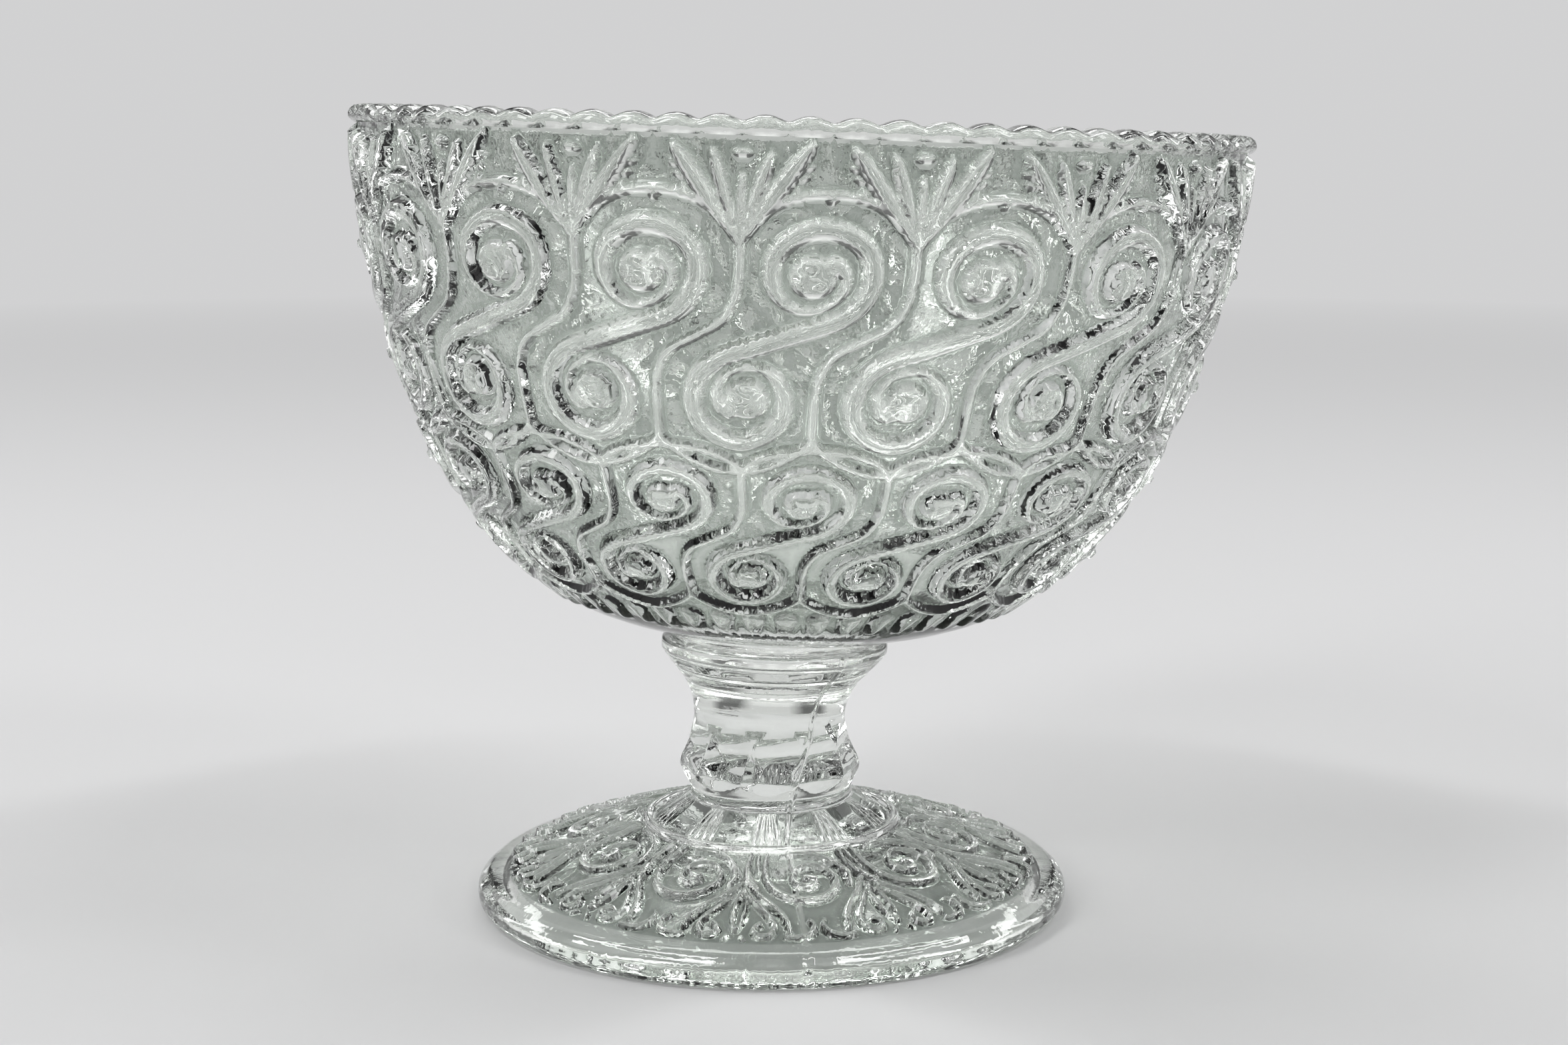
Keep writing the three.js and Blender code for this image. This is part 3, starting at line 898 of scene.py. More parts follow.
@dataclass
class Bowl(OrnamentedPiece):
    """Deep bowl with two tiers of scrolls, palmettes and a scalloped lip."""

    radius: float = 58.4
    height: float = 67.9
    outline: tuple[tuple[float, float], ...] = (
        (0.274, 0), (0.34, 0.013), (0.456, 0.042), (0.534, 0.077), (0.598, 0.12),
        (0.667, 0.181), (0.743, 0.262), (0.82, 0.37), (0.877, 0.488), (0.925, 0.615),
        (0.965, 0.75), (0.988, 0.88), (0.994, 0.965),
    )
    repeats: int = 18
    turn: float = -2.3
    cells_across: int = 48
    # Where a scallop starts, in repeats, and the grid one scallop before it
    lip_start: float = 0.27
    grid_start: float = lip_start - 0.25
    # Step of the grid up the outside, and the wafer's thickness under the bowl
    cell: float = 0.385
    seat_height: float = 1.5
    # Flat ring inside the base's edge, then lengths up the outside: rows of the plain
    # base, start of the relief, and where the bowl is split in two
    base_inset: float = 0.5
    base_rows: tuple[float, ...] = (0.0, 1.6, 3.6, 6.2, 9.2, 12.4, 14.2)
    relief_start: float = 15.4
    part_height: float = 48.3
    # Inside: wall and floor, rows behind lengths of the outside, and the floor's curve
    wall: float = 3.1
    floor: float = 5.2
    inside_start: float = 1.0
    inside_end: float = 17.0
    inside_rows: int = 40
    inside_thinning: int = 3
    floor_shares: tuple[tuple[float, float], ...] = (
        (0.93, 0.35), (0.8, 0.12), (0.6, 0.03), (0.35, 0.0), (0.15, 0.0),
    )
    # Lip: height, how proud of the wall and how sunk onto it, and its section out and up
    lip_height: float = 2.4
    lip_proud: float = 1.0
    lip_sink: float = 0.035
    lip_section: tuple[tuple[float, float], ...] = (
        (0.25, 0.02), (0.62, 0.12), (0.95, 0.3), (1.0, 0.52), (0.78, 0.76), (0.35, 0.93),
        (-0.4, 1.0), (-1.5, 1.0), (-2.4, 0.9), (-2.85, 0.68),
    )
    # Scallops of a repeat: rise, swell outside and inside, and how they meet
    scallops: int = 4
    scallop_rise: float = 0.69
    scallop_swell: float = 0.2
    scallop_inner_swell: float = 0.12
    scallop_least_swell: float = 0.3
    scallop_softness: float = 0.03
    scallop_gain: float = 1.19
    # Tiers of scrolls: middle and height up the outside, and their frames' cusps
    tiers: tuple[tuple[float, float], ...] = ((61.5, 33.2), (34.6, 26.4))
    cusps: tuple[float, ...] = (0.315, 0.38)
    # Half of a scroll, in shares of a column and a tier, with its width as a share
    scroll_shares: tuple[tuple[float, float, float], ...] = (
        (0, 0, 1), (0.172, 0.036, 1), (0.372, 0.08, 1), (0.495, 0.152, 1),
        (0.532, 0.238, 1), (0.47, 0.337, 1), (0.232, 0.39, 0.98), (0.01, 0.33, 0.95),
        (-0.056, 0.235, 0.9), (0.0, 0.142, 0.7), (0.14, 0.098, 0.46), (0.3, 0.126, 0.42),
        (0.375, 0.176, 0.52), (0.385, 0.24, 0.66), (0.305, 0.268, 0.9),
    )
    # Band of a scroll: width, slope at its sides with the share that a smaller tier
    # keeps, rise, dome, and the step of its path
    band: float = 2.75
    band_slope: float = 0.6
    band_slope_kept: float = 0.4
    band_rise: float = 1.0
    band_dome: float = 0.12
    band_step: float = 0.3
    # Domed head of a scroll, and the lens on it: across, up in radii, and half width
    head_share: tuple[float, float] = (0.188, 0.222)
    head_radius: float = 2.6
    head_half_length: float = 0.01
    head_dome: float = 0.3
    lens: tuple[tuple[float, float, float], ...] = (
        (-0.05, -0.6, 0.06), (-0.056, -0.2, 0.42), (-0.056, 0.2, 0.42), (-0.05, 0.6, 0.06),
    )
    lens_rise: float = 0.75
    # Frame: width, rise, step of its path, and half of a side with the place of its ends
    frame: float = 1.3
    frame_rise: float = 0.85
    frame_step: float = 0.4
    side_shares: tuple[tuple[float, float], ...] = (
        (0, 0), (0.16, 0.055), (0.232, 0.12), (0.266, 0.2),
    )
    side_end: float = 0.272
    # Arch and bow: points, top, the bow's cusp, and how full each is
    arch_points: int = 48
    arch_top: float = 0.503
    bow_cusp: float = 0.38
    arch_power: float = 1.2
    bow_power: float = 1.9
    # Blades of a palmette: lean, reach, girth
    blades: tuple[tuple[float, float, float], ...] = (
        (-0.385, 0.92, 1.0), (-0.16, 0.88, 0.8), (0.01, 0.7, 0.6), (0.17, 0.86, 0.8),
        (0.39, 0.94, 1.0),
    )
    blade_points: int = 28
    # Power of a blade's lean, half width at its foot, what that swells by and up to
    # which share of the length, and the taper at its end with its power
    blade_bend: float = 1.04
    blade_foot: float = 0.36
    blade_swell: float = 0.84
    blade_full: float = 0.6
    blade_taper: float = 0.85
    blade_taper_power: int = 9
    blade_rise: float = 1.05
    blade_slope: float = 0.45
    blade_dome: float = 0.2
    # Bumps by a palmette: across from its middle, down from the lip, half width
    lip_bumps: tuple[tuple[tuple[float, float], tuple[float, float], float], ...] = (
        ((-0.015, 1.9), (0.035, 1.9), 0.62), ((-0.5, 7.0), (-0.48, 6.8), 0.5),
    )
    lip_bump_rise: float = 0.9
    # Knots beside a palmette: up from its foot and half width, on a line that leans out
    knots: tuple[tuple[float, float], ...] = ((6.4, 0.4), (7.6, 0.46), (8.8, 0.4))
    knot_line: tuple[float, float] = (0.13, 0.027)
    knot_reach: tuple[float, float] = (0.03, 0.4)
    knot_rise: float = 0.6
    # Petals under the lower tier: how many, first place, both ends, widths
    petals: int = 3
    petal_start: float = 0.1
    petal_lean: float = 0.015
    petal_ends: tuple[float, float] = (16.4, 19.4)
    petal_halves: tuple[float, float] = (0.95, 1.6)
    petal_rise: float = 0.5

    def scroll(self, middle: float, tall: float) -> list[Ridge]:
        """S-scroll of one tier: a flat band that coils into a domed head at either end.

        Args:
            middle: Length up the outside of the tier's middle.
            tall: The tier's height.

        Returns:
            The band, and at each end its head and the lens on it.
        """
        wide = float(self.wide(middle))
        scale = min(tall / self.tiers[0][1], wide / float(self.wide(self.tiers[0][0])))
        half = np.array(self.scroll_shares) * [wide, tall, self.band / 2 * scale]
        line = rounded_off(smooth_path(half_turned(half), self.band_step))
        path = line[:, :2] / [wide, 1.0] + [0, middle]
        kept = self.band_slope_kept
        slope = self.band_slope * (kept + (1 - kept) * scale)
        ridges = [Ridge(path, line[:, 2], self.band_rise, slope, self.band_dome)]
        radius = self.head_radius * scale
        for side in (1, -1):
            eye = np.array([self.head_share[0] * side, self.head_share[1] * tall * side + middle])
            ends = np.outer((-1, 1), (self.head_half_length, 0)) + eye
            ridges.append(Ridge(ends, np.full(2, radius), self.band_rise, slope, self.head_dome))
            lens = np.array(self.lens)
            ridges.append(Ridge(
                lens[:, :2] * [side, radius] + eye, lens[:, 2] * scale,
                self.band_rise + self.lens_rise, rounded=True,
            ))
        return ridges

    def framing(self, middle: float, tall: float, cusp: float) -> list[Ridge]:
        """Frame round a column: a flowing side, an arch over it and a bow under it.

        Arch and bow rise from their cusps by a power of the sine of the way across.

        Args:
            middle: Length up the outside of the tier's middle.
            tall: The tier's height.
            cusp: Height of the arches' cusps over the middle, as a share of the tier.

        Returns:
            The side, the arch and the bow.
        """
        side = half_turned(np.array(self.side_shares))
        ends = np.array([(-self.side_end, -self.bow_cusp), (self.side_end, cusp)])
        side = np.concatenate([ends[:1], side, ends[1:]])
        line = smooth_path(side * [self.wide(middle), tall], self.frame_step)
        paths = [line / [self.wide(middle), 1.0] + [0.5, middle]]
        step = np.radians(np.linspace(0, 180, self.arch_points))
        for sign, low, power in ((1, cusp, self.arch_power), (-1, self.bow_cusp, self.bow_power)):
            arch = low + (self.arch_top - low) * np.sin(step) ** power
            arch = np.stack([self.side_end - 0.5 * np.cos(step), arch * tall], 1)
            paths.append(sign * arch + [0, middle])
        return [
            Ridge(path, np.full(len(path), self.frame / 2), self.frame_rise, rounded=True)
            for path in paths
        ]

    def palmette(self, foot: float, top: float) -> list[Ridge]:
        """Blades that fan out between two arches, with bumps and knots beside them.

        A blade widens from its foot over the first part of its length, and narrows to a
        point at its end by a high power of the length.

        Args:
            foot: Length up the outside of the cusp that the blades grow from.
            top: Length of the whole outside.

        Returns:
            The ridges.
        """
        middle = self.lip_start + 0.5
        ridges = []
        share = np.linspace(0, 1, self.blade_points)
        swell = self.blade_swell * smooth_step(share, 0.0, self.blade_full)
        taper = 1 - self.blade_taper * share**self.blade_taper_power
        for lean, reach, girth in self.blades:
            up = foot + (top - foot) * reach * share
            path = np.stack([middle + lean * share**self.blade_bend, up], 1)
            half = girth * (self.blade_foot + swell * taper)
            rise = self.blade_rise * girth**0.5
            ridges.append(Ridge(path, half, rise, self.blade_slope, self.blade_dome))
        for (first, low), (last, high), half in self.lip_bumps:
            ends = (middle + first, top - low), (middle + last, top - high)
            ridges.append(bump(*ends, half, self.lip_bump_rise))
        (start, lean), (out, rise) = self.knot_line, self.knot_reach
        for side in (-1, 1):
            for up, half in self.knots:
                across = middle + side * (start + lean * up)
                ends = (across, foot + up), (across + side * out, foot + up + rise)
                ridges.append(bump(*ends, half, self.knot_rise))
        return ridges

    def ridges(self) -> list[Ridge]:
        """All the ridges of one column.

        Returns:
            Scrolls and frames of both tiers, the palmette, and the petals at the base.
        """
        ridges: list[Ridge] = []
        for (middle, tall), cusp in zip(self.tiers, self.cusps):
            ridges += self.scroll(middle, tall) + self.framing(middle, tall, cusp)
        middle, tall = self.tiers[0]
        ridges += self.palmette(middle + self.cusps[0] * tall, self.profile.length)
        for k in range(self.petals):
            across = self.petal_start + k / self.petals
            path = np.stack([[across, across + self.petal_lean], self.petal_ends], 1)
            ridges.append(Ridge(path, np.array(self.petal_halves), self.petal_rise, rounded=True))
        return ridges

    def build(self) -> list[bpy.types.Object]:
        """Builds the bowl as two slabs of one skin, since one mesh would be too large.

        The lower slab has the base and the lower tier, the upper one the upper tier and
        the lip. They meet in a level ring of clear joint.

        Returns:
            The two pieces.
        """
        skin = self.skin
        flat = (self.contact, self.profile.points[0, 0] - self.base_inset)
        outside = self.smooth(flat, (0.0, 0.0))
        outside += self.smooth(*self.profile.at(np.array(self.base_rows)))
        v = np.arange(self.relief_start, self.profile.length, self.cell)
        v = np.append(v[:-1], self.profile.length)
        split = len(outside) + int(np.searchsorted(v, self.part_height))
        outside += self.ornament(self.ridges(), v)
        outside += self.lip()
        along, inside = self.inside()
        inner = int(np.searchsorted(-along, -self.part_height))

        skin.bands(outside[: split + 1])
        skin.bands(inside[inner:])
        skin.pole(inside[-1], (0, 0, self.floor), below=False)
        skin.slot = 1
        skin.pole(outside[0], (0, 0, 0), below=True)
        skin.thinned(outside[split], inside[inner])
        skin.part = 1
        skin.thinned(outside[split], inside[inner], flip=True)
        skin.slot = 0
        skin.bands(outside[split:])
        skin.thinned(outside[-1], inside[0])
        skin.bands(inside[: inner + 1])
        return [
            skin.build("bowl_glass_lower", self._place, self.materials, 0),
            skin.build("bowl_glass_upper", self._place, self.materials, 1),
        ]

    def lip(self) -> list[Array]:
        """Rows over the lip, swollen and raised by one arc of a sine to a scallop.

        The arcs meet softly: the root of the sine's square plus a little.

        Returns:
            The rows, from the outside to the inside.
        """
        rim, soft = self.profile.points[-1], self.scallop_softness
        wave = np.sin(np.pi * (self.across - self.lip_start) * self.scallops) ** 2
        wave = (np.sqrt(wave + soft) - soft**0.5) * self.scallop_gain
        rows = []
        for out, up in self.lip_section:
            swell = wave * (self.scallop_swell if out > 0 else self.scallop_inner_swell)
            swell = swell * min(max(out, self.scallop_least_swell), 1)
            plain = (self.lip_height - self.scallop_rise) * up - self.lip_sink
            height = rim[1] + plain + wave * self.scallop_rise * up
            radius = rim[0] + out * self.lip_proud + swell
            rows.append(self.skin.row(turned(radius, height, self.degrees)))
        return rows

    def inside(self) -> tuple[Array, list[Array]]:
        """Inner wall and floor, with a third of the outside's facets.

        Returns:
            Lengths along the outside that the rows lie behind, and the rows.
        """
        thin = self.degrees[1 :: self.inside_thinning]
        start = self.profile.length - self.inside_start
        along = np.linspace(start, self.inside_end, self.inside_rows)
        radius, height = self.profile.at(along, -self.wall)
        out, up = np.transpose(self.floor_shares)
        drop = height[-1] - self.floor
        radius = np.concatenate([radius, radius[-1] * out])
        height = np.concatenate([height, self.floor + drop * up])
        return along, [self.skin.row(turned(r, z, thin)) for r, z in zip(radius, height)]

    def _place(self, points: Array) -> Array:
        """Sets the bowl on the wafer."""
        return self.stance.on_seat(points + [0, 0, self.seat_height])


@dataclass
class Wafer(GlassPiece):
    """Thin disc of glass that joins bowl and stem, squeezed out unevenly."""

    radius: float = 14.7
    thickness: float = 1.5
    # Bulge of the edge, its rows, and the points of a row
    edge: float = 0.7
    edge_rows: int = 13
    around: int = 240
    # Waves of the edge: how many to a turn, size, and start
    waves: tuple[tuple[int, float, float], ...] = ((3, 0.12, 40.0), (7, 0.08, 0.0))
    bowl_share: float = 0.5

    def build(self) -> bpy.types.Object:
        """Builds the disc: two faces joined by an edge that bulges and wanders.

        The edge is half an ellipse, pushed in and out by a few waves round it.

        Returns:
            The piece.
        """
        skin = Skin()
        degrees = np.arange(self.around) * FULL_TURN / self.around
        wander = sum(
            size * np.sin(np.radians(count * degrees + start)) for count, size, start in self.waves
        )
        rows = [skin.row(turned(self.contact, 0.0, degrees))]
        for angle in np.radians(np.linspace(-90, 90, self.edge_rows)):
            radius = self.radius - self.edge + (self.edge + wander) * math.cos(angle)
            height = self.thickness / 2 * (1 + math.sin(angle))
            rows.append(skin.row(turned(radius, height, degrees)))
        rows.append(skin.row(turned(self.contact, self.thickness, degrees)))
        skin.bands(rows)
        skin.slot = 1
        skin.pole(rows[0], (0, 0, 0), below=True)
        skin.pole(rows[-1], (0, 0, self.thickness), below=False)
        return skin.build("wafer_glass", self._place, self.materials)

    def _place(self, points: Array) -> Array:
        """Sets the wafer on the stem, half way along to the bowl."""
        return self.stance.on_seat(points, self.bowl_share)


@dataclass(frozen=True)
class Line:
    """A raised line of the foot: places as degrees and radii, with even half widths."""

    places: tuple[tuple[float, float], ...]
    halves: tuple[float, ...]
    rise: float = 0.85


@dataclass
class StemFoot(OrnamentedPiece):
    """Ten-sided stem on a round foot with scrolls and palmettes, one pressing."""

    radius: float = 40.2
    height: float = 14.3
    outline: tuple[tuple[float, float], ...] = (
        (0.975, 0), (0.996, 0.07), (1, 0.13), (0.999, 0.175), (0.992, 0.215), (0.984, 0.236),
        (0.976, 0.257), (0.968, 0.278), (0.955, 0.3), (0.93, 0.32), (0.895, 0.342),
        (0.846, 0.374), (0.747, 0.463), (0.647, 0.555), (0.547, 0.645), (0.445, 0.745),
    )
    repeats: int = 10
    turn: float = 11.5
    cells_across: int = 64
    grid_start: float = -0.5
    # Inside this share of the radius and over this share of the height is the foot's top
    top_shares: tuple[float, float] = (0.985, 0.15)
    # Underside, in shares of the resting ring's inner radius and of the hollow's rise
    ring_width: float = 3.0
    hollow: float = 7.2
    hollow_shares: tuple[tuple[float, float], ...] = (
        (0.1, 1), (0.22, 0.99), (0.36, 0.95), (0.5, 0.86), (0.61, 0.74), (0.72, 0.6),
        (0.83, 0.44), (0.91, 0.3), (0.955, 0.2), (0.983, 0.09), (0.996, 0.025), (1, 0),
    )
    # Edge and ornament: numbers of rows, radius where they meet, and the gap there
    edge_rows: int = 28
    ornament_rows: int = 84
    ornament_rim: float = 36.4
    row_gap: float = 0.3
    widest: float = 40.25
    # Lines of a scroll
    scroll_lines: tuple[Line, ...] = (
        Line(((-13.0, 18.2), (-13.6, 20.5), (-12.8, 23.4), (-10.2, 25.8), (-5.6, 27.4),
              (0.2, 27.8), (5.2, 26.7), (8.3, 24.6), (8.0, 22.4), (4.8, 21.0), (0.2, 20.8),
              (-3.6, 21.8), (-4.6, 23.5), (-2.8, 24.9), (0.4, 25.0), (1.6, 24.0)),
             (0.4, 0.48, 0.56, 0.62, 0.68, 0.76, 0.82, 0.7, 0.56, 0.48, 0.44, 0.46, 0.6, 0.9)),
        Line(((-0.4, 23.6), (1.4, 23.9)), (0.85, 0.95), 1.0),
        Line(((-7.5, 18.5), (-2.0, 18.4), (3.5, 18.6), (8.5, 19.5), (12.0, 21.2),
              (13.4, 23.0), (12.4, 24.8)), (0.35, 0.48, 0.52, 0.56, 0.6, 0.78, 0.6)),
        Line(((-19.4, 18.2), (-19.6, 20.8), (-18.6, 23.2), (-15.4, 25.6)),
             (0.4, 0.46, 0.6, 0.85, 0.6)),
        Line(((-16.4, 18.2), (-16.2, 20.0), (-15.4, 21.8)), (0.36, 0.4, 0.3), 0.7),
    )
    # Lines of half a palmette, from its middle angle: leaves, curl, hook and bud
    palmette_angle: float = 17.0
    palmette_lines: tuple[Line, ...] = (
        Line(((0.15, 25.4), (1.2, 28.0), (1.35, 31.0), (0.2, 33.9)), (0.3, 0.46, 0.48, 0.3)),
        Line(((0.8, 24.4), (4.2, 26.8), (8.2, 29.2), (10.8, 31.6), (11.6, 33.8)),
             (0.4, 0.55, 0.66, 0.66, 0.45), 0.95),
        Line(((1.8, 26.8), (4.8, 29.0), (7.4, 31.2), (8.3, 33.2), (7.2, 34.9), (4.8, 35.0),
              (3.8, 33.6), (5.2, 32.6)), (0.3, 0.46, 0.52, 0.56, 0.54, 0.5, 0.46, 0.56)),
        Line(((10.6, 35.2), (13.2, 35.5), (15.8, 34.8), (17.0, 33.0), (16.0, 31.6)),
             (0.36, 0.55, 0.6, 0.55, 0.36)),
        Line(((1.4, 34.9), (2.2, 35.6)), (0.45, 0.4), 0.6),
    )
    line_slope: float = 0.38
    line_dome: float = 0.12
    # Width that a repeat is taken to have while a line is smoothed, and the steps
    drawn_width: float = 14.5
    drawn_step: float = 0.35
    # Bead at the inner end of the ornament: radii and heights above that end
    step: tuple[tuple[float, float], ...] = (
        (17.5, 0.3), (17.34, 0.68), (17.12, 0.94), (16.86, 1.03), (16.6, 0.95), (16.4, 0.7),
        (16.25, 0.42),
    )
    # Cone from the bead up to the neck, with fans of four rays
    neck: float = 11.05
    cone_rows: int = 13
    cone_inset: float = 0.1
    cone_end: float = 0.97
    cone_power: float = 1.2
    # Painted shade over the cone, and heights of a ray at which its painted highlight starts and
    # is full
    cone_light_level: float = 0.16
    ray_highlight: tuple[float, float] = (0.06, 0.28)
    fan_turn: float = 22.0
    ray_places: tuple[float, ...] = (-1.5, -0.5, 0.5, 1.5)
    ray_gap: float = 4.4
    ray_closing: float = 1.8
    ray_rise: float = 0.6
    ray_width: float = 0.34
    # Seam: its angle by height, the surface's radius by height, and its start on the edge
    seam_line: tuple[tuple[float, float], ...] = (
        (2, 6.5), (12, 8), (16, 15), (19, 16), (24, 33), (36, 36),
    )
    seam_radius: tuple[tuple[float, float], ...] = ((0, 38), (12, 16), (16, 11), (36, 14))
    seam_width: float = 0.27
    seam_rise: float = 0.42
    seam_start: tuple[float, float] = (0.3, 1.5)
    # Height, radius of the round body, and distance of the facets from the axis
    stem: tuple[tuple[float, float, float], ...] = (
        (14.3, 11.05, 12.6), (15.2, 11.0, 12.2), (16.1, 11.1, 11.7), (16.9, 11.5, 11.45),
        (17.8, 12.1, 11.6), (18.6, 12.45, 11.7), (19.6, 12.45, 11.45), (20.8, 12.1, 10.9),
        (22.0, 11.4, 10.42), (23.1, 10.8, 10.16), (24.2, 10.4, 10.1), (25.3, 10.25, 10.14),
        (26.5, 10.35, 10.4), (27.6, 10.6, 10.8), (28.7, 10.95, 11.3), (29.8, 11.5, 11.9),
        (30.9, 12.25, 12.6), (32.1, 13.35, 13.4), (33.2, 14.3, 14.1), (34.1, 15.0, 14.8),
        (34.6, 15.35, 15.2), (35.3, 15.4, 15.3), (35.75, 15.3, 15.3), (36.0, 14.9, 15.2),
    )
    sides: int = 10
    # Angle of the facets' edges by height: the stem was twisted while it was soft
    twist: tuple[tuple[float, float], ...] = (
        (14, -20), (17, -20), (21, -15), (24.5, -10), (36, 2),
    )
    # Creases round the collar: heights, depth and width
    creases: tuple[float, ...] = (30.4, 32.3, 34.3)
    crease_depth: float = 0.24
    crease_width: float = 0.16
    # Rows of the stem: even stretches as ends and count, single ones, and round a crease
    stem_stretches: tuple[tuple[float, float, int], ...] = ((14.3, 29.6, 48), (34.95, 36.0, 8))
    stem_heights: tuple[float, ...] = (31.35, 33.3)
    crease_rows: tuple[float, ...] = (-0.5, -0.3, -0.17, -0.07, 0.07, 0.17, 0.3, 0.5)

    def along(self, radius: float) -> float:
        """Length along the profile where the top of the foot has a radius.

        Args:
            radius: The radius, inside the foot's edge.

        Returns:
            The length.
        """
        out, up = self.top_shares
        top = self.profile.line[:, 0] < self.radius * out
        top &= self.profile.line[:, 1] > self.height * up
        line, reach = self.profile.line[top], self.profile.reach[top]
        return float(np.interp(radius, line[::-1, 0], reach[::-1]))

    def ridge(self, line: Line, middle: float = 0.0, side: int = 1) -> Ridge:
        """The ridge of a raised line, smoothed on a chart of even width.

        Args:
            line: The line.
            middle: Angle that its places are counted from.
            side: Whether they are counted to the right, 1, or to the left, -1.

        Returns:
            The ridge, on the chart of one repeat.
        """
        chart = [self.drawn_width, 1.0]
        path = np.array([
            ((middle + side * angle) / self.pitch, self.along(radius))
            for angle, radius in line.places
        ])
        path = smooth_path(path * chart, self.drawn_step) / chart
        halves = np.interp(
            np.linspace(0, 1, len(path)), np.linspace(0, 1, len(line.halves)), line.halves,
        )
        return Ridge(path, halves, line.rise, self.line_slope, self.line_dome)

    def ridges(self) -> list[Ridge]:
        """All the ridges of one repeat.

        Returns:
            The lines of a scroll, and those of a palmette with two like halves.
        """
        return [self.ridge(line) for line in self.scroll_lines] + [
            self.ridge(line, self.palmette_angle, side)
            for side in (-1, 1) for line in self.palmette_lines
        ]

    def rays(self, share: float, radius: float) -> Array:
        """Height of the thin rays between bead and neck, four to a fan.

        A ray is a bell round its own angle, whose distance from the fan's middle shrinks
        towards the neck. Between the fans the glass is plain.

        Args:
            share: Share of the way from bead to neck.
            radius: Radius there.

        Returns:
            The heights.
        """
        half = self.pitch / 2
        off = (self.degrees - self.turn - self.fan_turn + half) % self.pitch - half
        places = np.array(self.ray_places) * (self.ray_gap - self.ray_closing * share)
        gap = np.radians(off[:, None] - places) * radius
        fade = math.sin(math.pi * share) ** 0.5
        return self.ray_rise * fade * np.exp(-((gap / self.ray_width) ** 2)).max(axis=1)

    def seam(self, degrees: Array, height: Array) -> Array:
        """Fin left by the mould's joint, two on opposite sides, that follows the twist.

        It is a bell over the distance from the seam's line, measured round the surface.

        Args:
            degrees: Angles of the places.
            height: Their heights.

        Returns:
            The fin's heights.
        """
        quarter = FULL_TURN / 4
        line = np.interp(height, *np.transpose(self.seam_line))
        off = (degrees - line + quarter) % (2 * quarter) - quarter
        arc = np.radians(off) * np.interp(height, *np.transpose(self.seam_radius))
        return self.seam_rise * np.exp(-((arc / self.seam_width) ** 2))

    def stem_radius(self, height: float) -> Array:
        """Radius of the stem: a round body cut by ten flat facets and three creases.

        A facet's radius is its distance over the cosine of the angle from its middle.
        The smaller of body and facet shows, so a facet ends in a curve above and below.
        A crease is a narrow bell taken off the radius.

        Args:
            height: The height.

        Returns:
            The radii all round.
        """
        heights, bodies, distances = np.transpose(self.stem)
        body, distance = (np.interp(height, heights, table) for table in (bodies, distances))
        pitch = FULL_TURN / self.sides
        turn = np.interp(height, *np.transpose(self.twist))
        off = (self.degrees - turn) % pitch - pitch / 2
        facet = distance / np.cos(np.radians(off))
        bells = [math.exp(-(((height - low) / self.crease_width) ** 2)) for low in self.creases]
        return np.minimum(body, facet) - self.crease_depth * sum(bells)

    def build(self) -> list[bpy.types.Object]:
        """Builds foot and stem as two slabs of one skin, which meet in clear joint.

        The rows run from the hollow under the foot over its edge to the collar's top.

        Returns:
            The foot and the stem.
        """
        skin = self.skin
        out, up = np.transpose(self.hollow_shares)
        rows = self.smooth(out * (self.profile.points[0, 0] - self.ring_width), up * self.hollow)
        skin.pole(rows[0], (0, 0, self.hollow), below=True)
        rim = self.along(self.ornament_rim)
        rows += self.edge(rim)
        v = np.linspace(rim + self.row_gap, self.profile.length, self.ornament_rows)
        rows += self.ornament(self.ridges(), v)
        rows += self.cone()
        stem = self.shaft()
        rows.append(stem[0])
        skin.bands(rows)
        skin.slot = 1
        skin.pole(rows[-1], (0, 0, self.height), below=False)
        skin.part = 1
        skin.pole(stem[0], (0, 0, self.height), below=True)
        skin.pole(stem[-1], (0, 0, self.stance.collar_top), below=False)
        skin.slot = 0
        skin.bands(stem)
        return [
            skin.build("foot_glass", self.stance.on_foot, self.materials, 0),
            skin.build("stem_glass", self.stance.on_foot, self.materials, 1),
        ]

    def edge(self, end: float) -> list[Array]:
        """Rows from the table over the foot's edge, where the seam starts.

        Args:
            end: Length along the profile of the last row.

        Returns:
            The rows.
        """
        rows = []
        for along in np.linspace(0, end, self.edge_rows):
            radius, height = self.profile.at(along)
            fin = self.seam(self.degrees, height) * smooth_step(along, *self.seam_start)
            radius = np.minimum(radius + fin, self.widest)
            rows.append(self.skin.row(turned(radius, height, self.degrees)))
        return rows

    def cone(self) -> list[Array]:
        """Rows over the bead and up the cone with its rays, nearly to the neck.

        The cone rises by a power of the way in, so that it is a little hollow.

        Returns:
            The rows.
        """
        end = self.profile.at(self.profile.length)[1]
        radii, rises = np.transpose(self.step)
        rows = self.smooth(radii, end + rises)
        inner, foot = self.step[-1][0] - self.cone_inset, end + self.step[0][1]
        for share in np.linspace(0.0, self.cone_end, self.cone_rows):
            radius = inner + (self.neck - inner) * share
            height = foot + (self.height - foot) * share**self.cone_power
            ribs = np.maximum(self.rays(share, radius), self.seam(self.degrees, height))
            # The cone gets painted shade, its rays and seam a painted highlight
            rib_highlight = (1 - self.cone_light_level) * smooth_step(ribs, *self.ray_highlight)
            points = turned(radius, height + ribs, self.degrees)
            rows.append(self.skin.row(points, self.cone_light_level + rib_highlight))
        return rows

    def shaft(self) -> list[Array]:
        """Rows of the stem from the neck to the collar's top, closer round the creases.

        Returns:
            The rows.
        """
        heights = np.sort(np.concatenate([
            *(np.linspace(low, high, count) for low, high, count in self.stem_stretches),
            self.stem_heights, *(low + np.array(self.crease_rows) for low in self.creases),
        ]))
        rows = []
        for height in heights:
            radius = self.stem_radius(height) + self.seam(self.degrees, height)
            rows.append(self.skin.row(turned(radius, height, self.degrees)))
        return rows + self.smooth([self.contact], [self.stance.collar_top])


# Studio


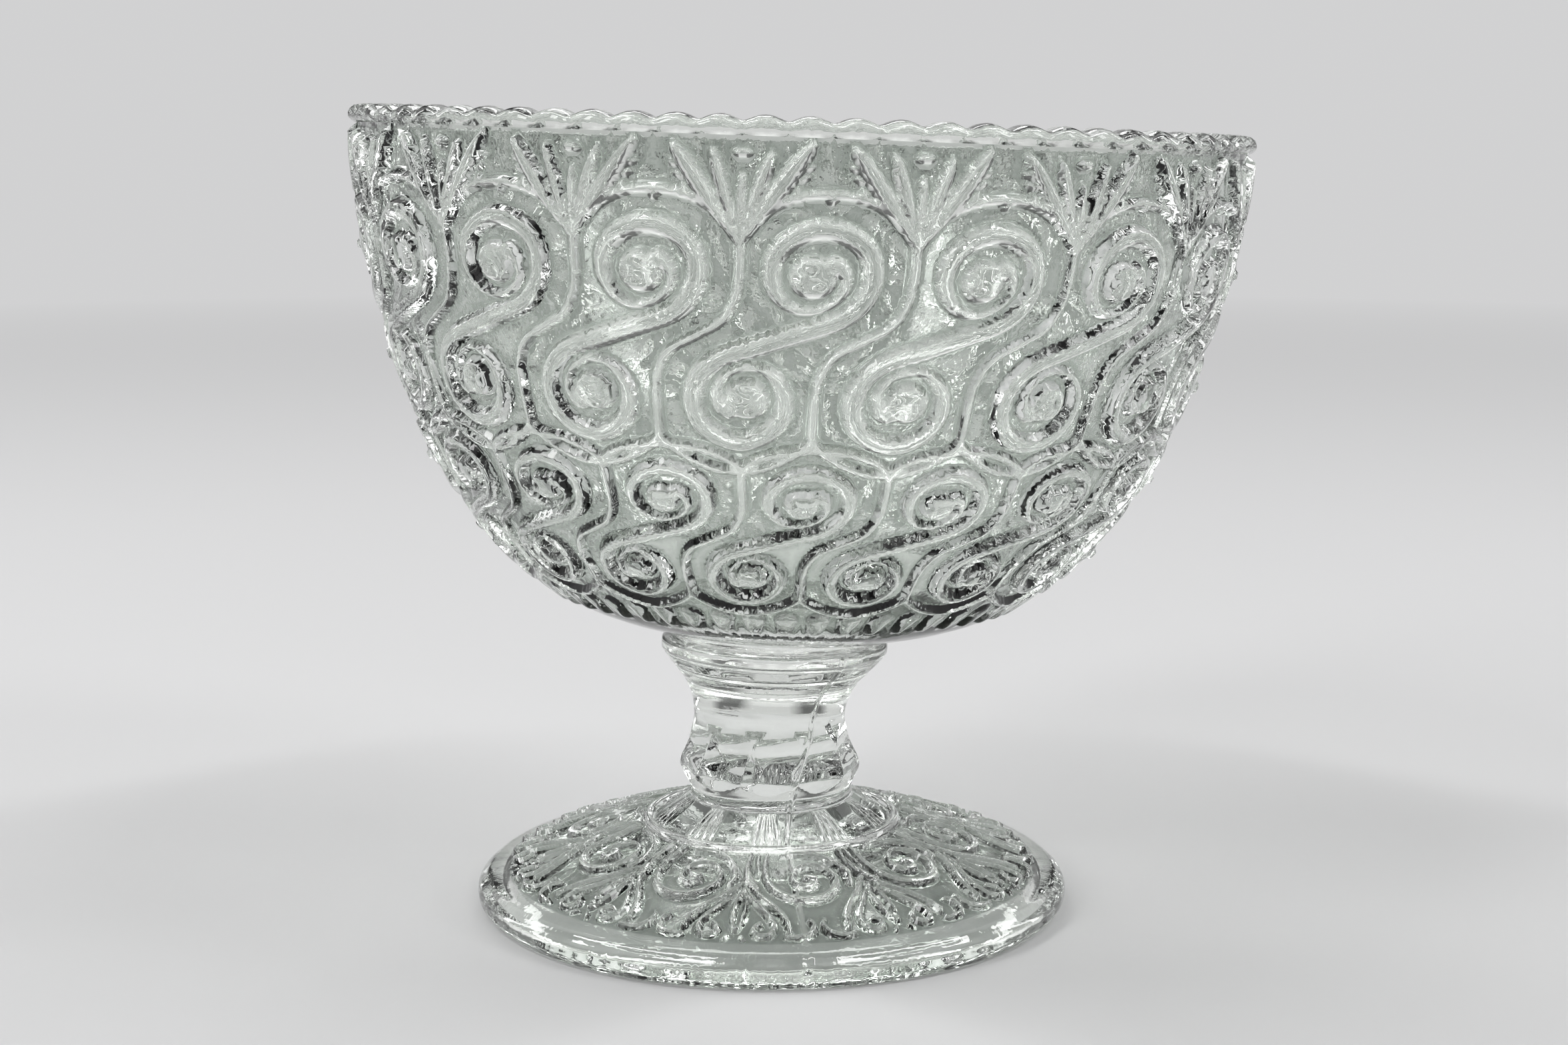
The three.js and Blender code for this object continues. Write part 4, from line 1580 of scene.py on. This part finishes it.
@dataclass(frozen=True)
class SoftBox:
    """A lamp: place and size in metres, power in watts, and its roll in its own plane."""

    name: str
    place: tuple[float, float, float]
    size: tuple[float, float]
    power: float
    roll: float = 0.0

    def hang(self, target: tuple[float, float, float]) -> None:
        """Hangs the lamp so that it looks at a place.

        Args:
            target: The place, in metres.
        """
        light = bpy.data.lights.new(self.name, "AREA")
        light.shape, light.size, light.size_y = "RECTANGLE", *self.size
        light.energy = self.power
        lamp = bpy.data.objects.new(self.name, light)
        bpy.context.scene.collection.objects.link(lamp)
        lamp.location = self.place
        way = Vector(target) - lamp.location
        lamp.rotation_euler = way.to_track_quat("-Z", "Y").to_euler()
        lamp.rotation_euler.rotate_axis("Z", math.radians(self.roll))
        lamp.visible_camera = False


@dataclass
class Studio:
    """Pale floor, soft lights and the camera at the photograph's angle."""

    foot: tuple[float, float]
    pale: tuple[float, float, float] = (0.64, 0.64, 0.645)
    # Floor: radii of its rings, depth under the object's foot, and where it starts to glow
    floor_rings: tuple[float, ...] = (6.0, 1.0, 0.3, 0.05)
    floor_sides: int = 96
    floor_depth: float = 0.05
    glow_reach: tuple[float, float] = (0.35, 1.1)
    # Dark flags: how many, width of each as a share, brightness, and where they show
    flag_count: int = 8
    flag_width: float = 0.42
    flag_level: float = 0.2
    flag_reach: tuple[float, float] = (1.5, 2.5)
    horizon: tuple[float, float] = (0.02, 0.06)
    # Ceiling that glass sees, over the backdrop's brightness, and light of the dome
    ceiling: float = 0.9
    ceiling_rise: tuple[float, float] = (0.2, 0.95)
    dome: float = 0.27
    # Two strips overhead draw the lines of light along the foot's edge. Two at the sides,
    # a little behind, draw those along the edges of the relief
    lamps: tuple[SoftBox, ...] = (
        SoftBox("left_box", (-0.75, -0.6, 0.75), (0.24, 0.6), 3.6),
        SoftBox("right_box", (0.9, -0.35, 0.6), (0.2, 0.6), 2.4),
        SoftBox("back_box", (-0.12, 0.66, 0.92), (0.6, 0.22), 2.4),
        SoftBox("left_strip", (-0.5, -0.02, 0.9), (0.72, 0.08), 2.8, 44.0),
        SoftBox("right_strip", (0.52, -0.02, 0.9), (0.72, 0.08), 2.6, -44.0),
        SoftBox("left_edge", (-0.95, 0.5, 0.42), (0.12, 0.7), 1.7),
        SoftBox("right_edge", (0.95, 0.5, 0.42), (0.12, 0.7), 1.7),
    )
    lamp_target: tuple[float, float, float] = (0.0, 0.0, 0.06)
    # Camera: place from the foot's middle, pitch, and focal length in frame widths
    camera_side: float = 1.69
    camera_distance: float = 339.4
    camera_height: float = 108.3
    camera_pitch: float = 9.46
    focal_share: float = 3830 / 2353
    sensor_width: float = 36.0
    clip_end: float = 20.0

    def floor(self) -> bpy.types.Object:
        """Lays a wide disc whose far part glows in its own colour, so no edge shows.

        Returns:
            The floor.
        """
        skin = Skin()
        degrees = np.arange(self.floor_sides) * FULL_TURN / self.floor_sides
        rows = [skin.row(turned(ring / METRES, 0.0, degrees)) for ring in self.floor_rings]
        skin.bands(rows)
        skin.pole(rows[-1], (0, 0, 0), below=False)
        return skin.build("studio_floor", self._lowered, [self.floor_material()])

    def _lowered(self, points: Array) -> Array:
        """Keeps the floor just clear of the object's foot."""
        return points - [0, 0, self.floor_depth]

    def glass_rays(self, shader: Shader) -> Value:
        """Whether a ray comes off the glass or through it.

        Args:
            shader: The shader that asks.

        Returns:
            All where it does, else none.
        """
        path = shader.node("LightPath").outputs
        through, off = (Value(shader.tree, path[f"Is {kind} Ray"])
                        for kind in ("Transmission", "Glossy"))
        return through.most(off)

    def axes(self, shader: Shader, kind: str) -> list[Value]:
        """Coordinates of the place that is shaded.

        Args:
            shader: The shader that reads them.
            kind: Which of the Texture Coordinate node's outputs is read.

        Returns:
            One value for each axis.
        """
        place = shader.node("TexCoord").outputs[kind]
        split = shader.node("SeparateXYZ", Vector=place).outputs
        return [Value(shader.tree, split[axis]) for axis in "XYZ"]

    def flags(self, across: Value, along: Value) -> Value:
        """Upright dark flags round the set, as a share.

        A photographer stands them beside the backdrop, to give clear glass its dark
        edges. Only the glass picks them up; the camera sees the plain backdrop.

        Args:
            across: Coordinate across the set.
            along: Coordinate along it.

        Returns:
            The share.
        """
        return across.turn(along).stripe(self.flag_count, self.flag_width)

    def floor_material(self) -> bpy.types.Material:
        """Matt pale paint that turns into its own plain glow far from the object.

        Returns:
            The material.
        """
        shader = Shader("floor_paint")
        across, along, _ = self.axes(shader, "Object")
        reach = (across * across + along * along) ** 0.5
        matt = shader.node("BsdfDiffuse", Color=(*self.pale, 1))
        glow = shader.node("Emission", Color=(*self.pale, 1), Strength=1.0)
        dark = shader.node("Emission", Color=(self.flag_level,) * 3 + (1,), Strength=1.0)
        far = shader.node("MixShader", Fac=reach.between(*self.glow_reach))
        flag = self.flags(across, along) * self.glass_rays(shader)
        mix = shader.node("MixShader", Fac=flag * reach.between(*self.flag_reach))
        for shade, socket in ((matt, far.inputs[1]), (glow, far.inputs[2]),
                              (far, mix.inputs[1]), (dark, mix.inputs[2])):
            shader.tree.links.new(shade.outputs[0], socket)
        return shader.finish(mix.outputs[0])

    def world(self) -> None:
        """Sets a plain backdrop, which the glass sees with flags and a bright ceiling.

        The light that it throws on everything else is an even, low dome.
        """
        world = bpy.data.worlds.new("studio_world")
        bpy.context.scene.world = world
        shader = Shader(world.name, world)
        across, along, height = self.axes(shader, "Generated")
        flag = self.flags(across, along) * height.between(*self.horizon)
        seen = height.between(*self.ceiling_rise) * self.ceiling + self.pale[0]
        seen = seen * (1 - flag * (1 - self.flag_level))
        glass = self.glass_rays(shader)
        soft = shader.node("Background", Color=glass * (seen - self.dome) + self.dome)
        plain = shader.node("Background", Color=(*self.pale, 1))
        mix = shader.node("MixShader", Fac=shader.node("LightPath").outputs["Is Camera Ray"])
        output = shader.node("OutputWorld")
        for shade, socket in ((soft, mix.inputs[1]), (plain, mix.inputs[2]),
                              (mix, output.inputs["Surface"])):
            shader.tree.links.new(shade.outputs[0], socket)

    def camera(self) -> None:
        """Sets the camera where the photograph was taken from."""
        data = bpy.data.cameras.new("studio_camera")
        data.sensor_width = self.sensor_width
        data.lens = self.sensor_width * self.focal_share
        data.clip_end = self.clip_end
        camera = bpy.data.objects.new("studio_camera", data)
        bpy.context.scene.collection.objects.link(camera)
        camera.location = (
            (self.foot[0] + self.camera_side) * METRES,
            (self.foot[1] - self.camera_distance) * METRES,
            self.camera_height * METRES,
        )
        camera.rotation_euler = (math.radians(90 - self.camera_pitch), 0, 0)
        bpy.context.scene.camera = camera

    def build(self) -> None:
        """Builds the studio, whose colours show as they are written."""
        bpy.context.scene.view_settings.view_transform = "Standard"
        self.floor()
        self.world()
        for lamp in self.lamps:
            lamp.hang(self.lamp_target)
        self.camera()


def attach(piece: bpy.types.Object, node: str) -> None:
    """Lets a piece stand for its CAD node, on the body and slot of that node.

    Args:
        piece: The piece.
        node: The CAD node's name.
    """
    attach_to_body(piece, "root")
    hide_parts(node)
    LOG.info("%s stands for %s", piece.name, node)


def main() -> None:
    """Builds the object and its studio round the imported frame."""
    logging.basicConfig(level=logging.INFO, format="%(message)s")
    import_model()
    low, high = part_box("stem_foot")
    foot = ((low.x + high.x) / 2 / METRES, (low.y + high.y) / 2 / METRES)
    stance = Stance(foot)
    joint = JointFinish().material()
    bowl_glass = GlassFinish("bowl_clear_glass", (0.955, 0.975, 0.95)).material()
    wafer_glass = GlassFinish("wafer_streaky_glass", (0.94, 0.965, 0.935), ripple=0.16,
                              ripple_scale=120.0, streak=(1.0, 1.0, 5.0)).material()
    stem_glass = GlassFinish("stem_clear_glass", (0.94, 0.965, 0.935), ripple=0.055).material()
    Studio(foot).build()
    for piece in Bowl(stance, bowl_glass, joint).build():
        attach(piece, "bowl")
    attach(Wafer(stance, wafer_glass, joint).build(), "wafer")
    for piece in StemFoot(stance, stem_glass, joint).build():
        attach(piece, "stem_foot")


if __name__ == "__main__":
    main()
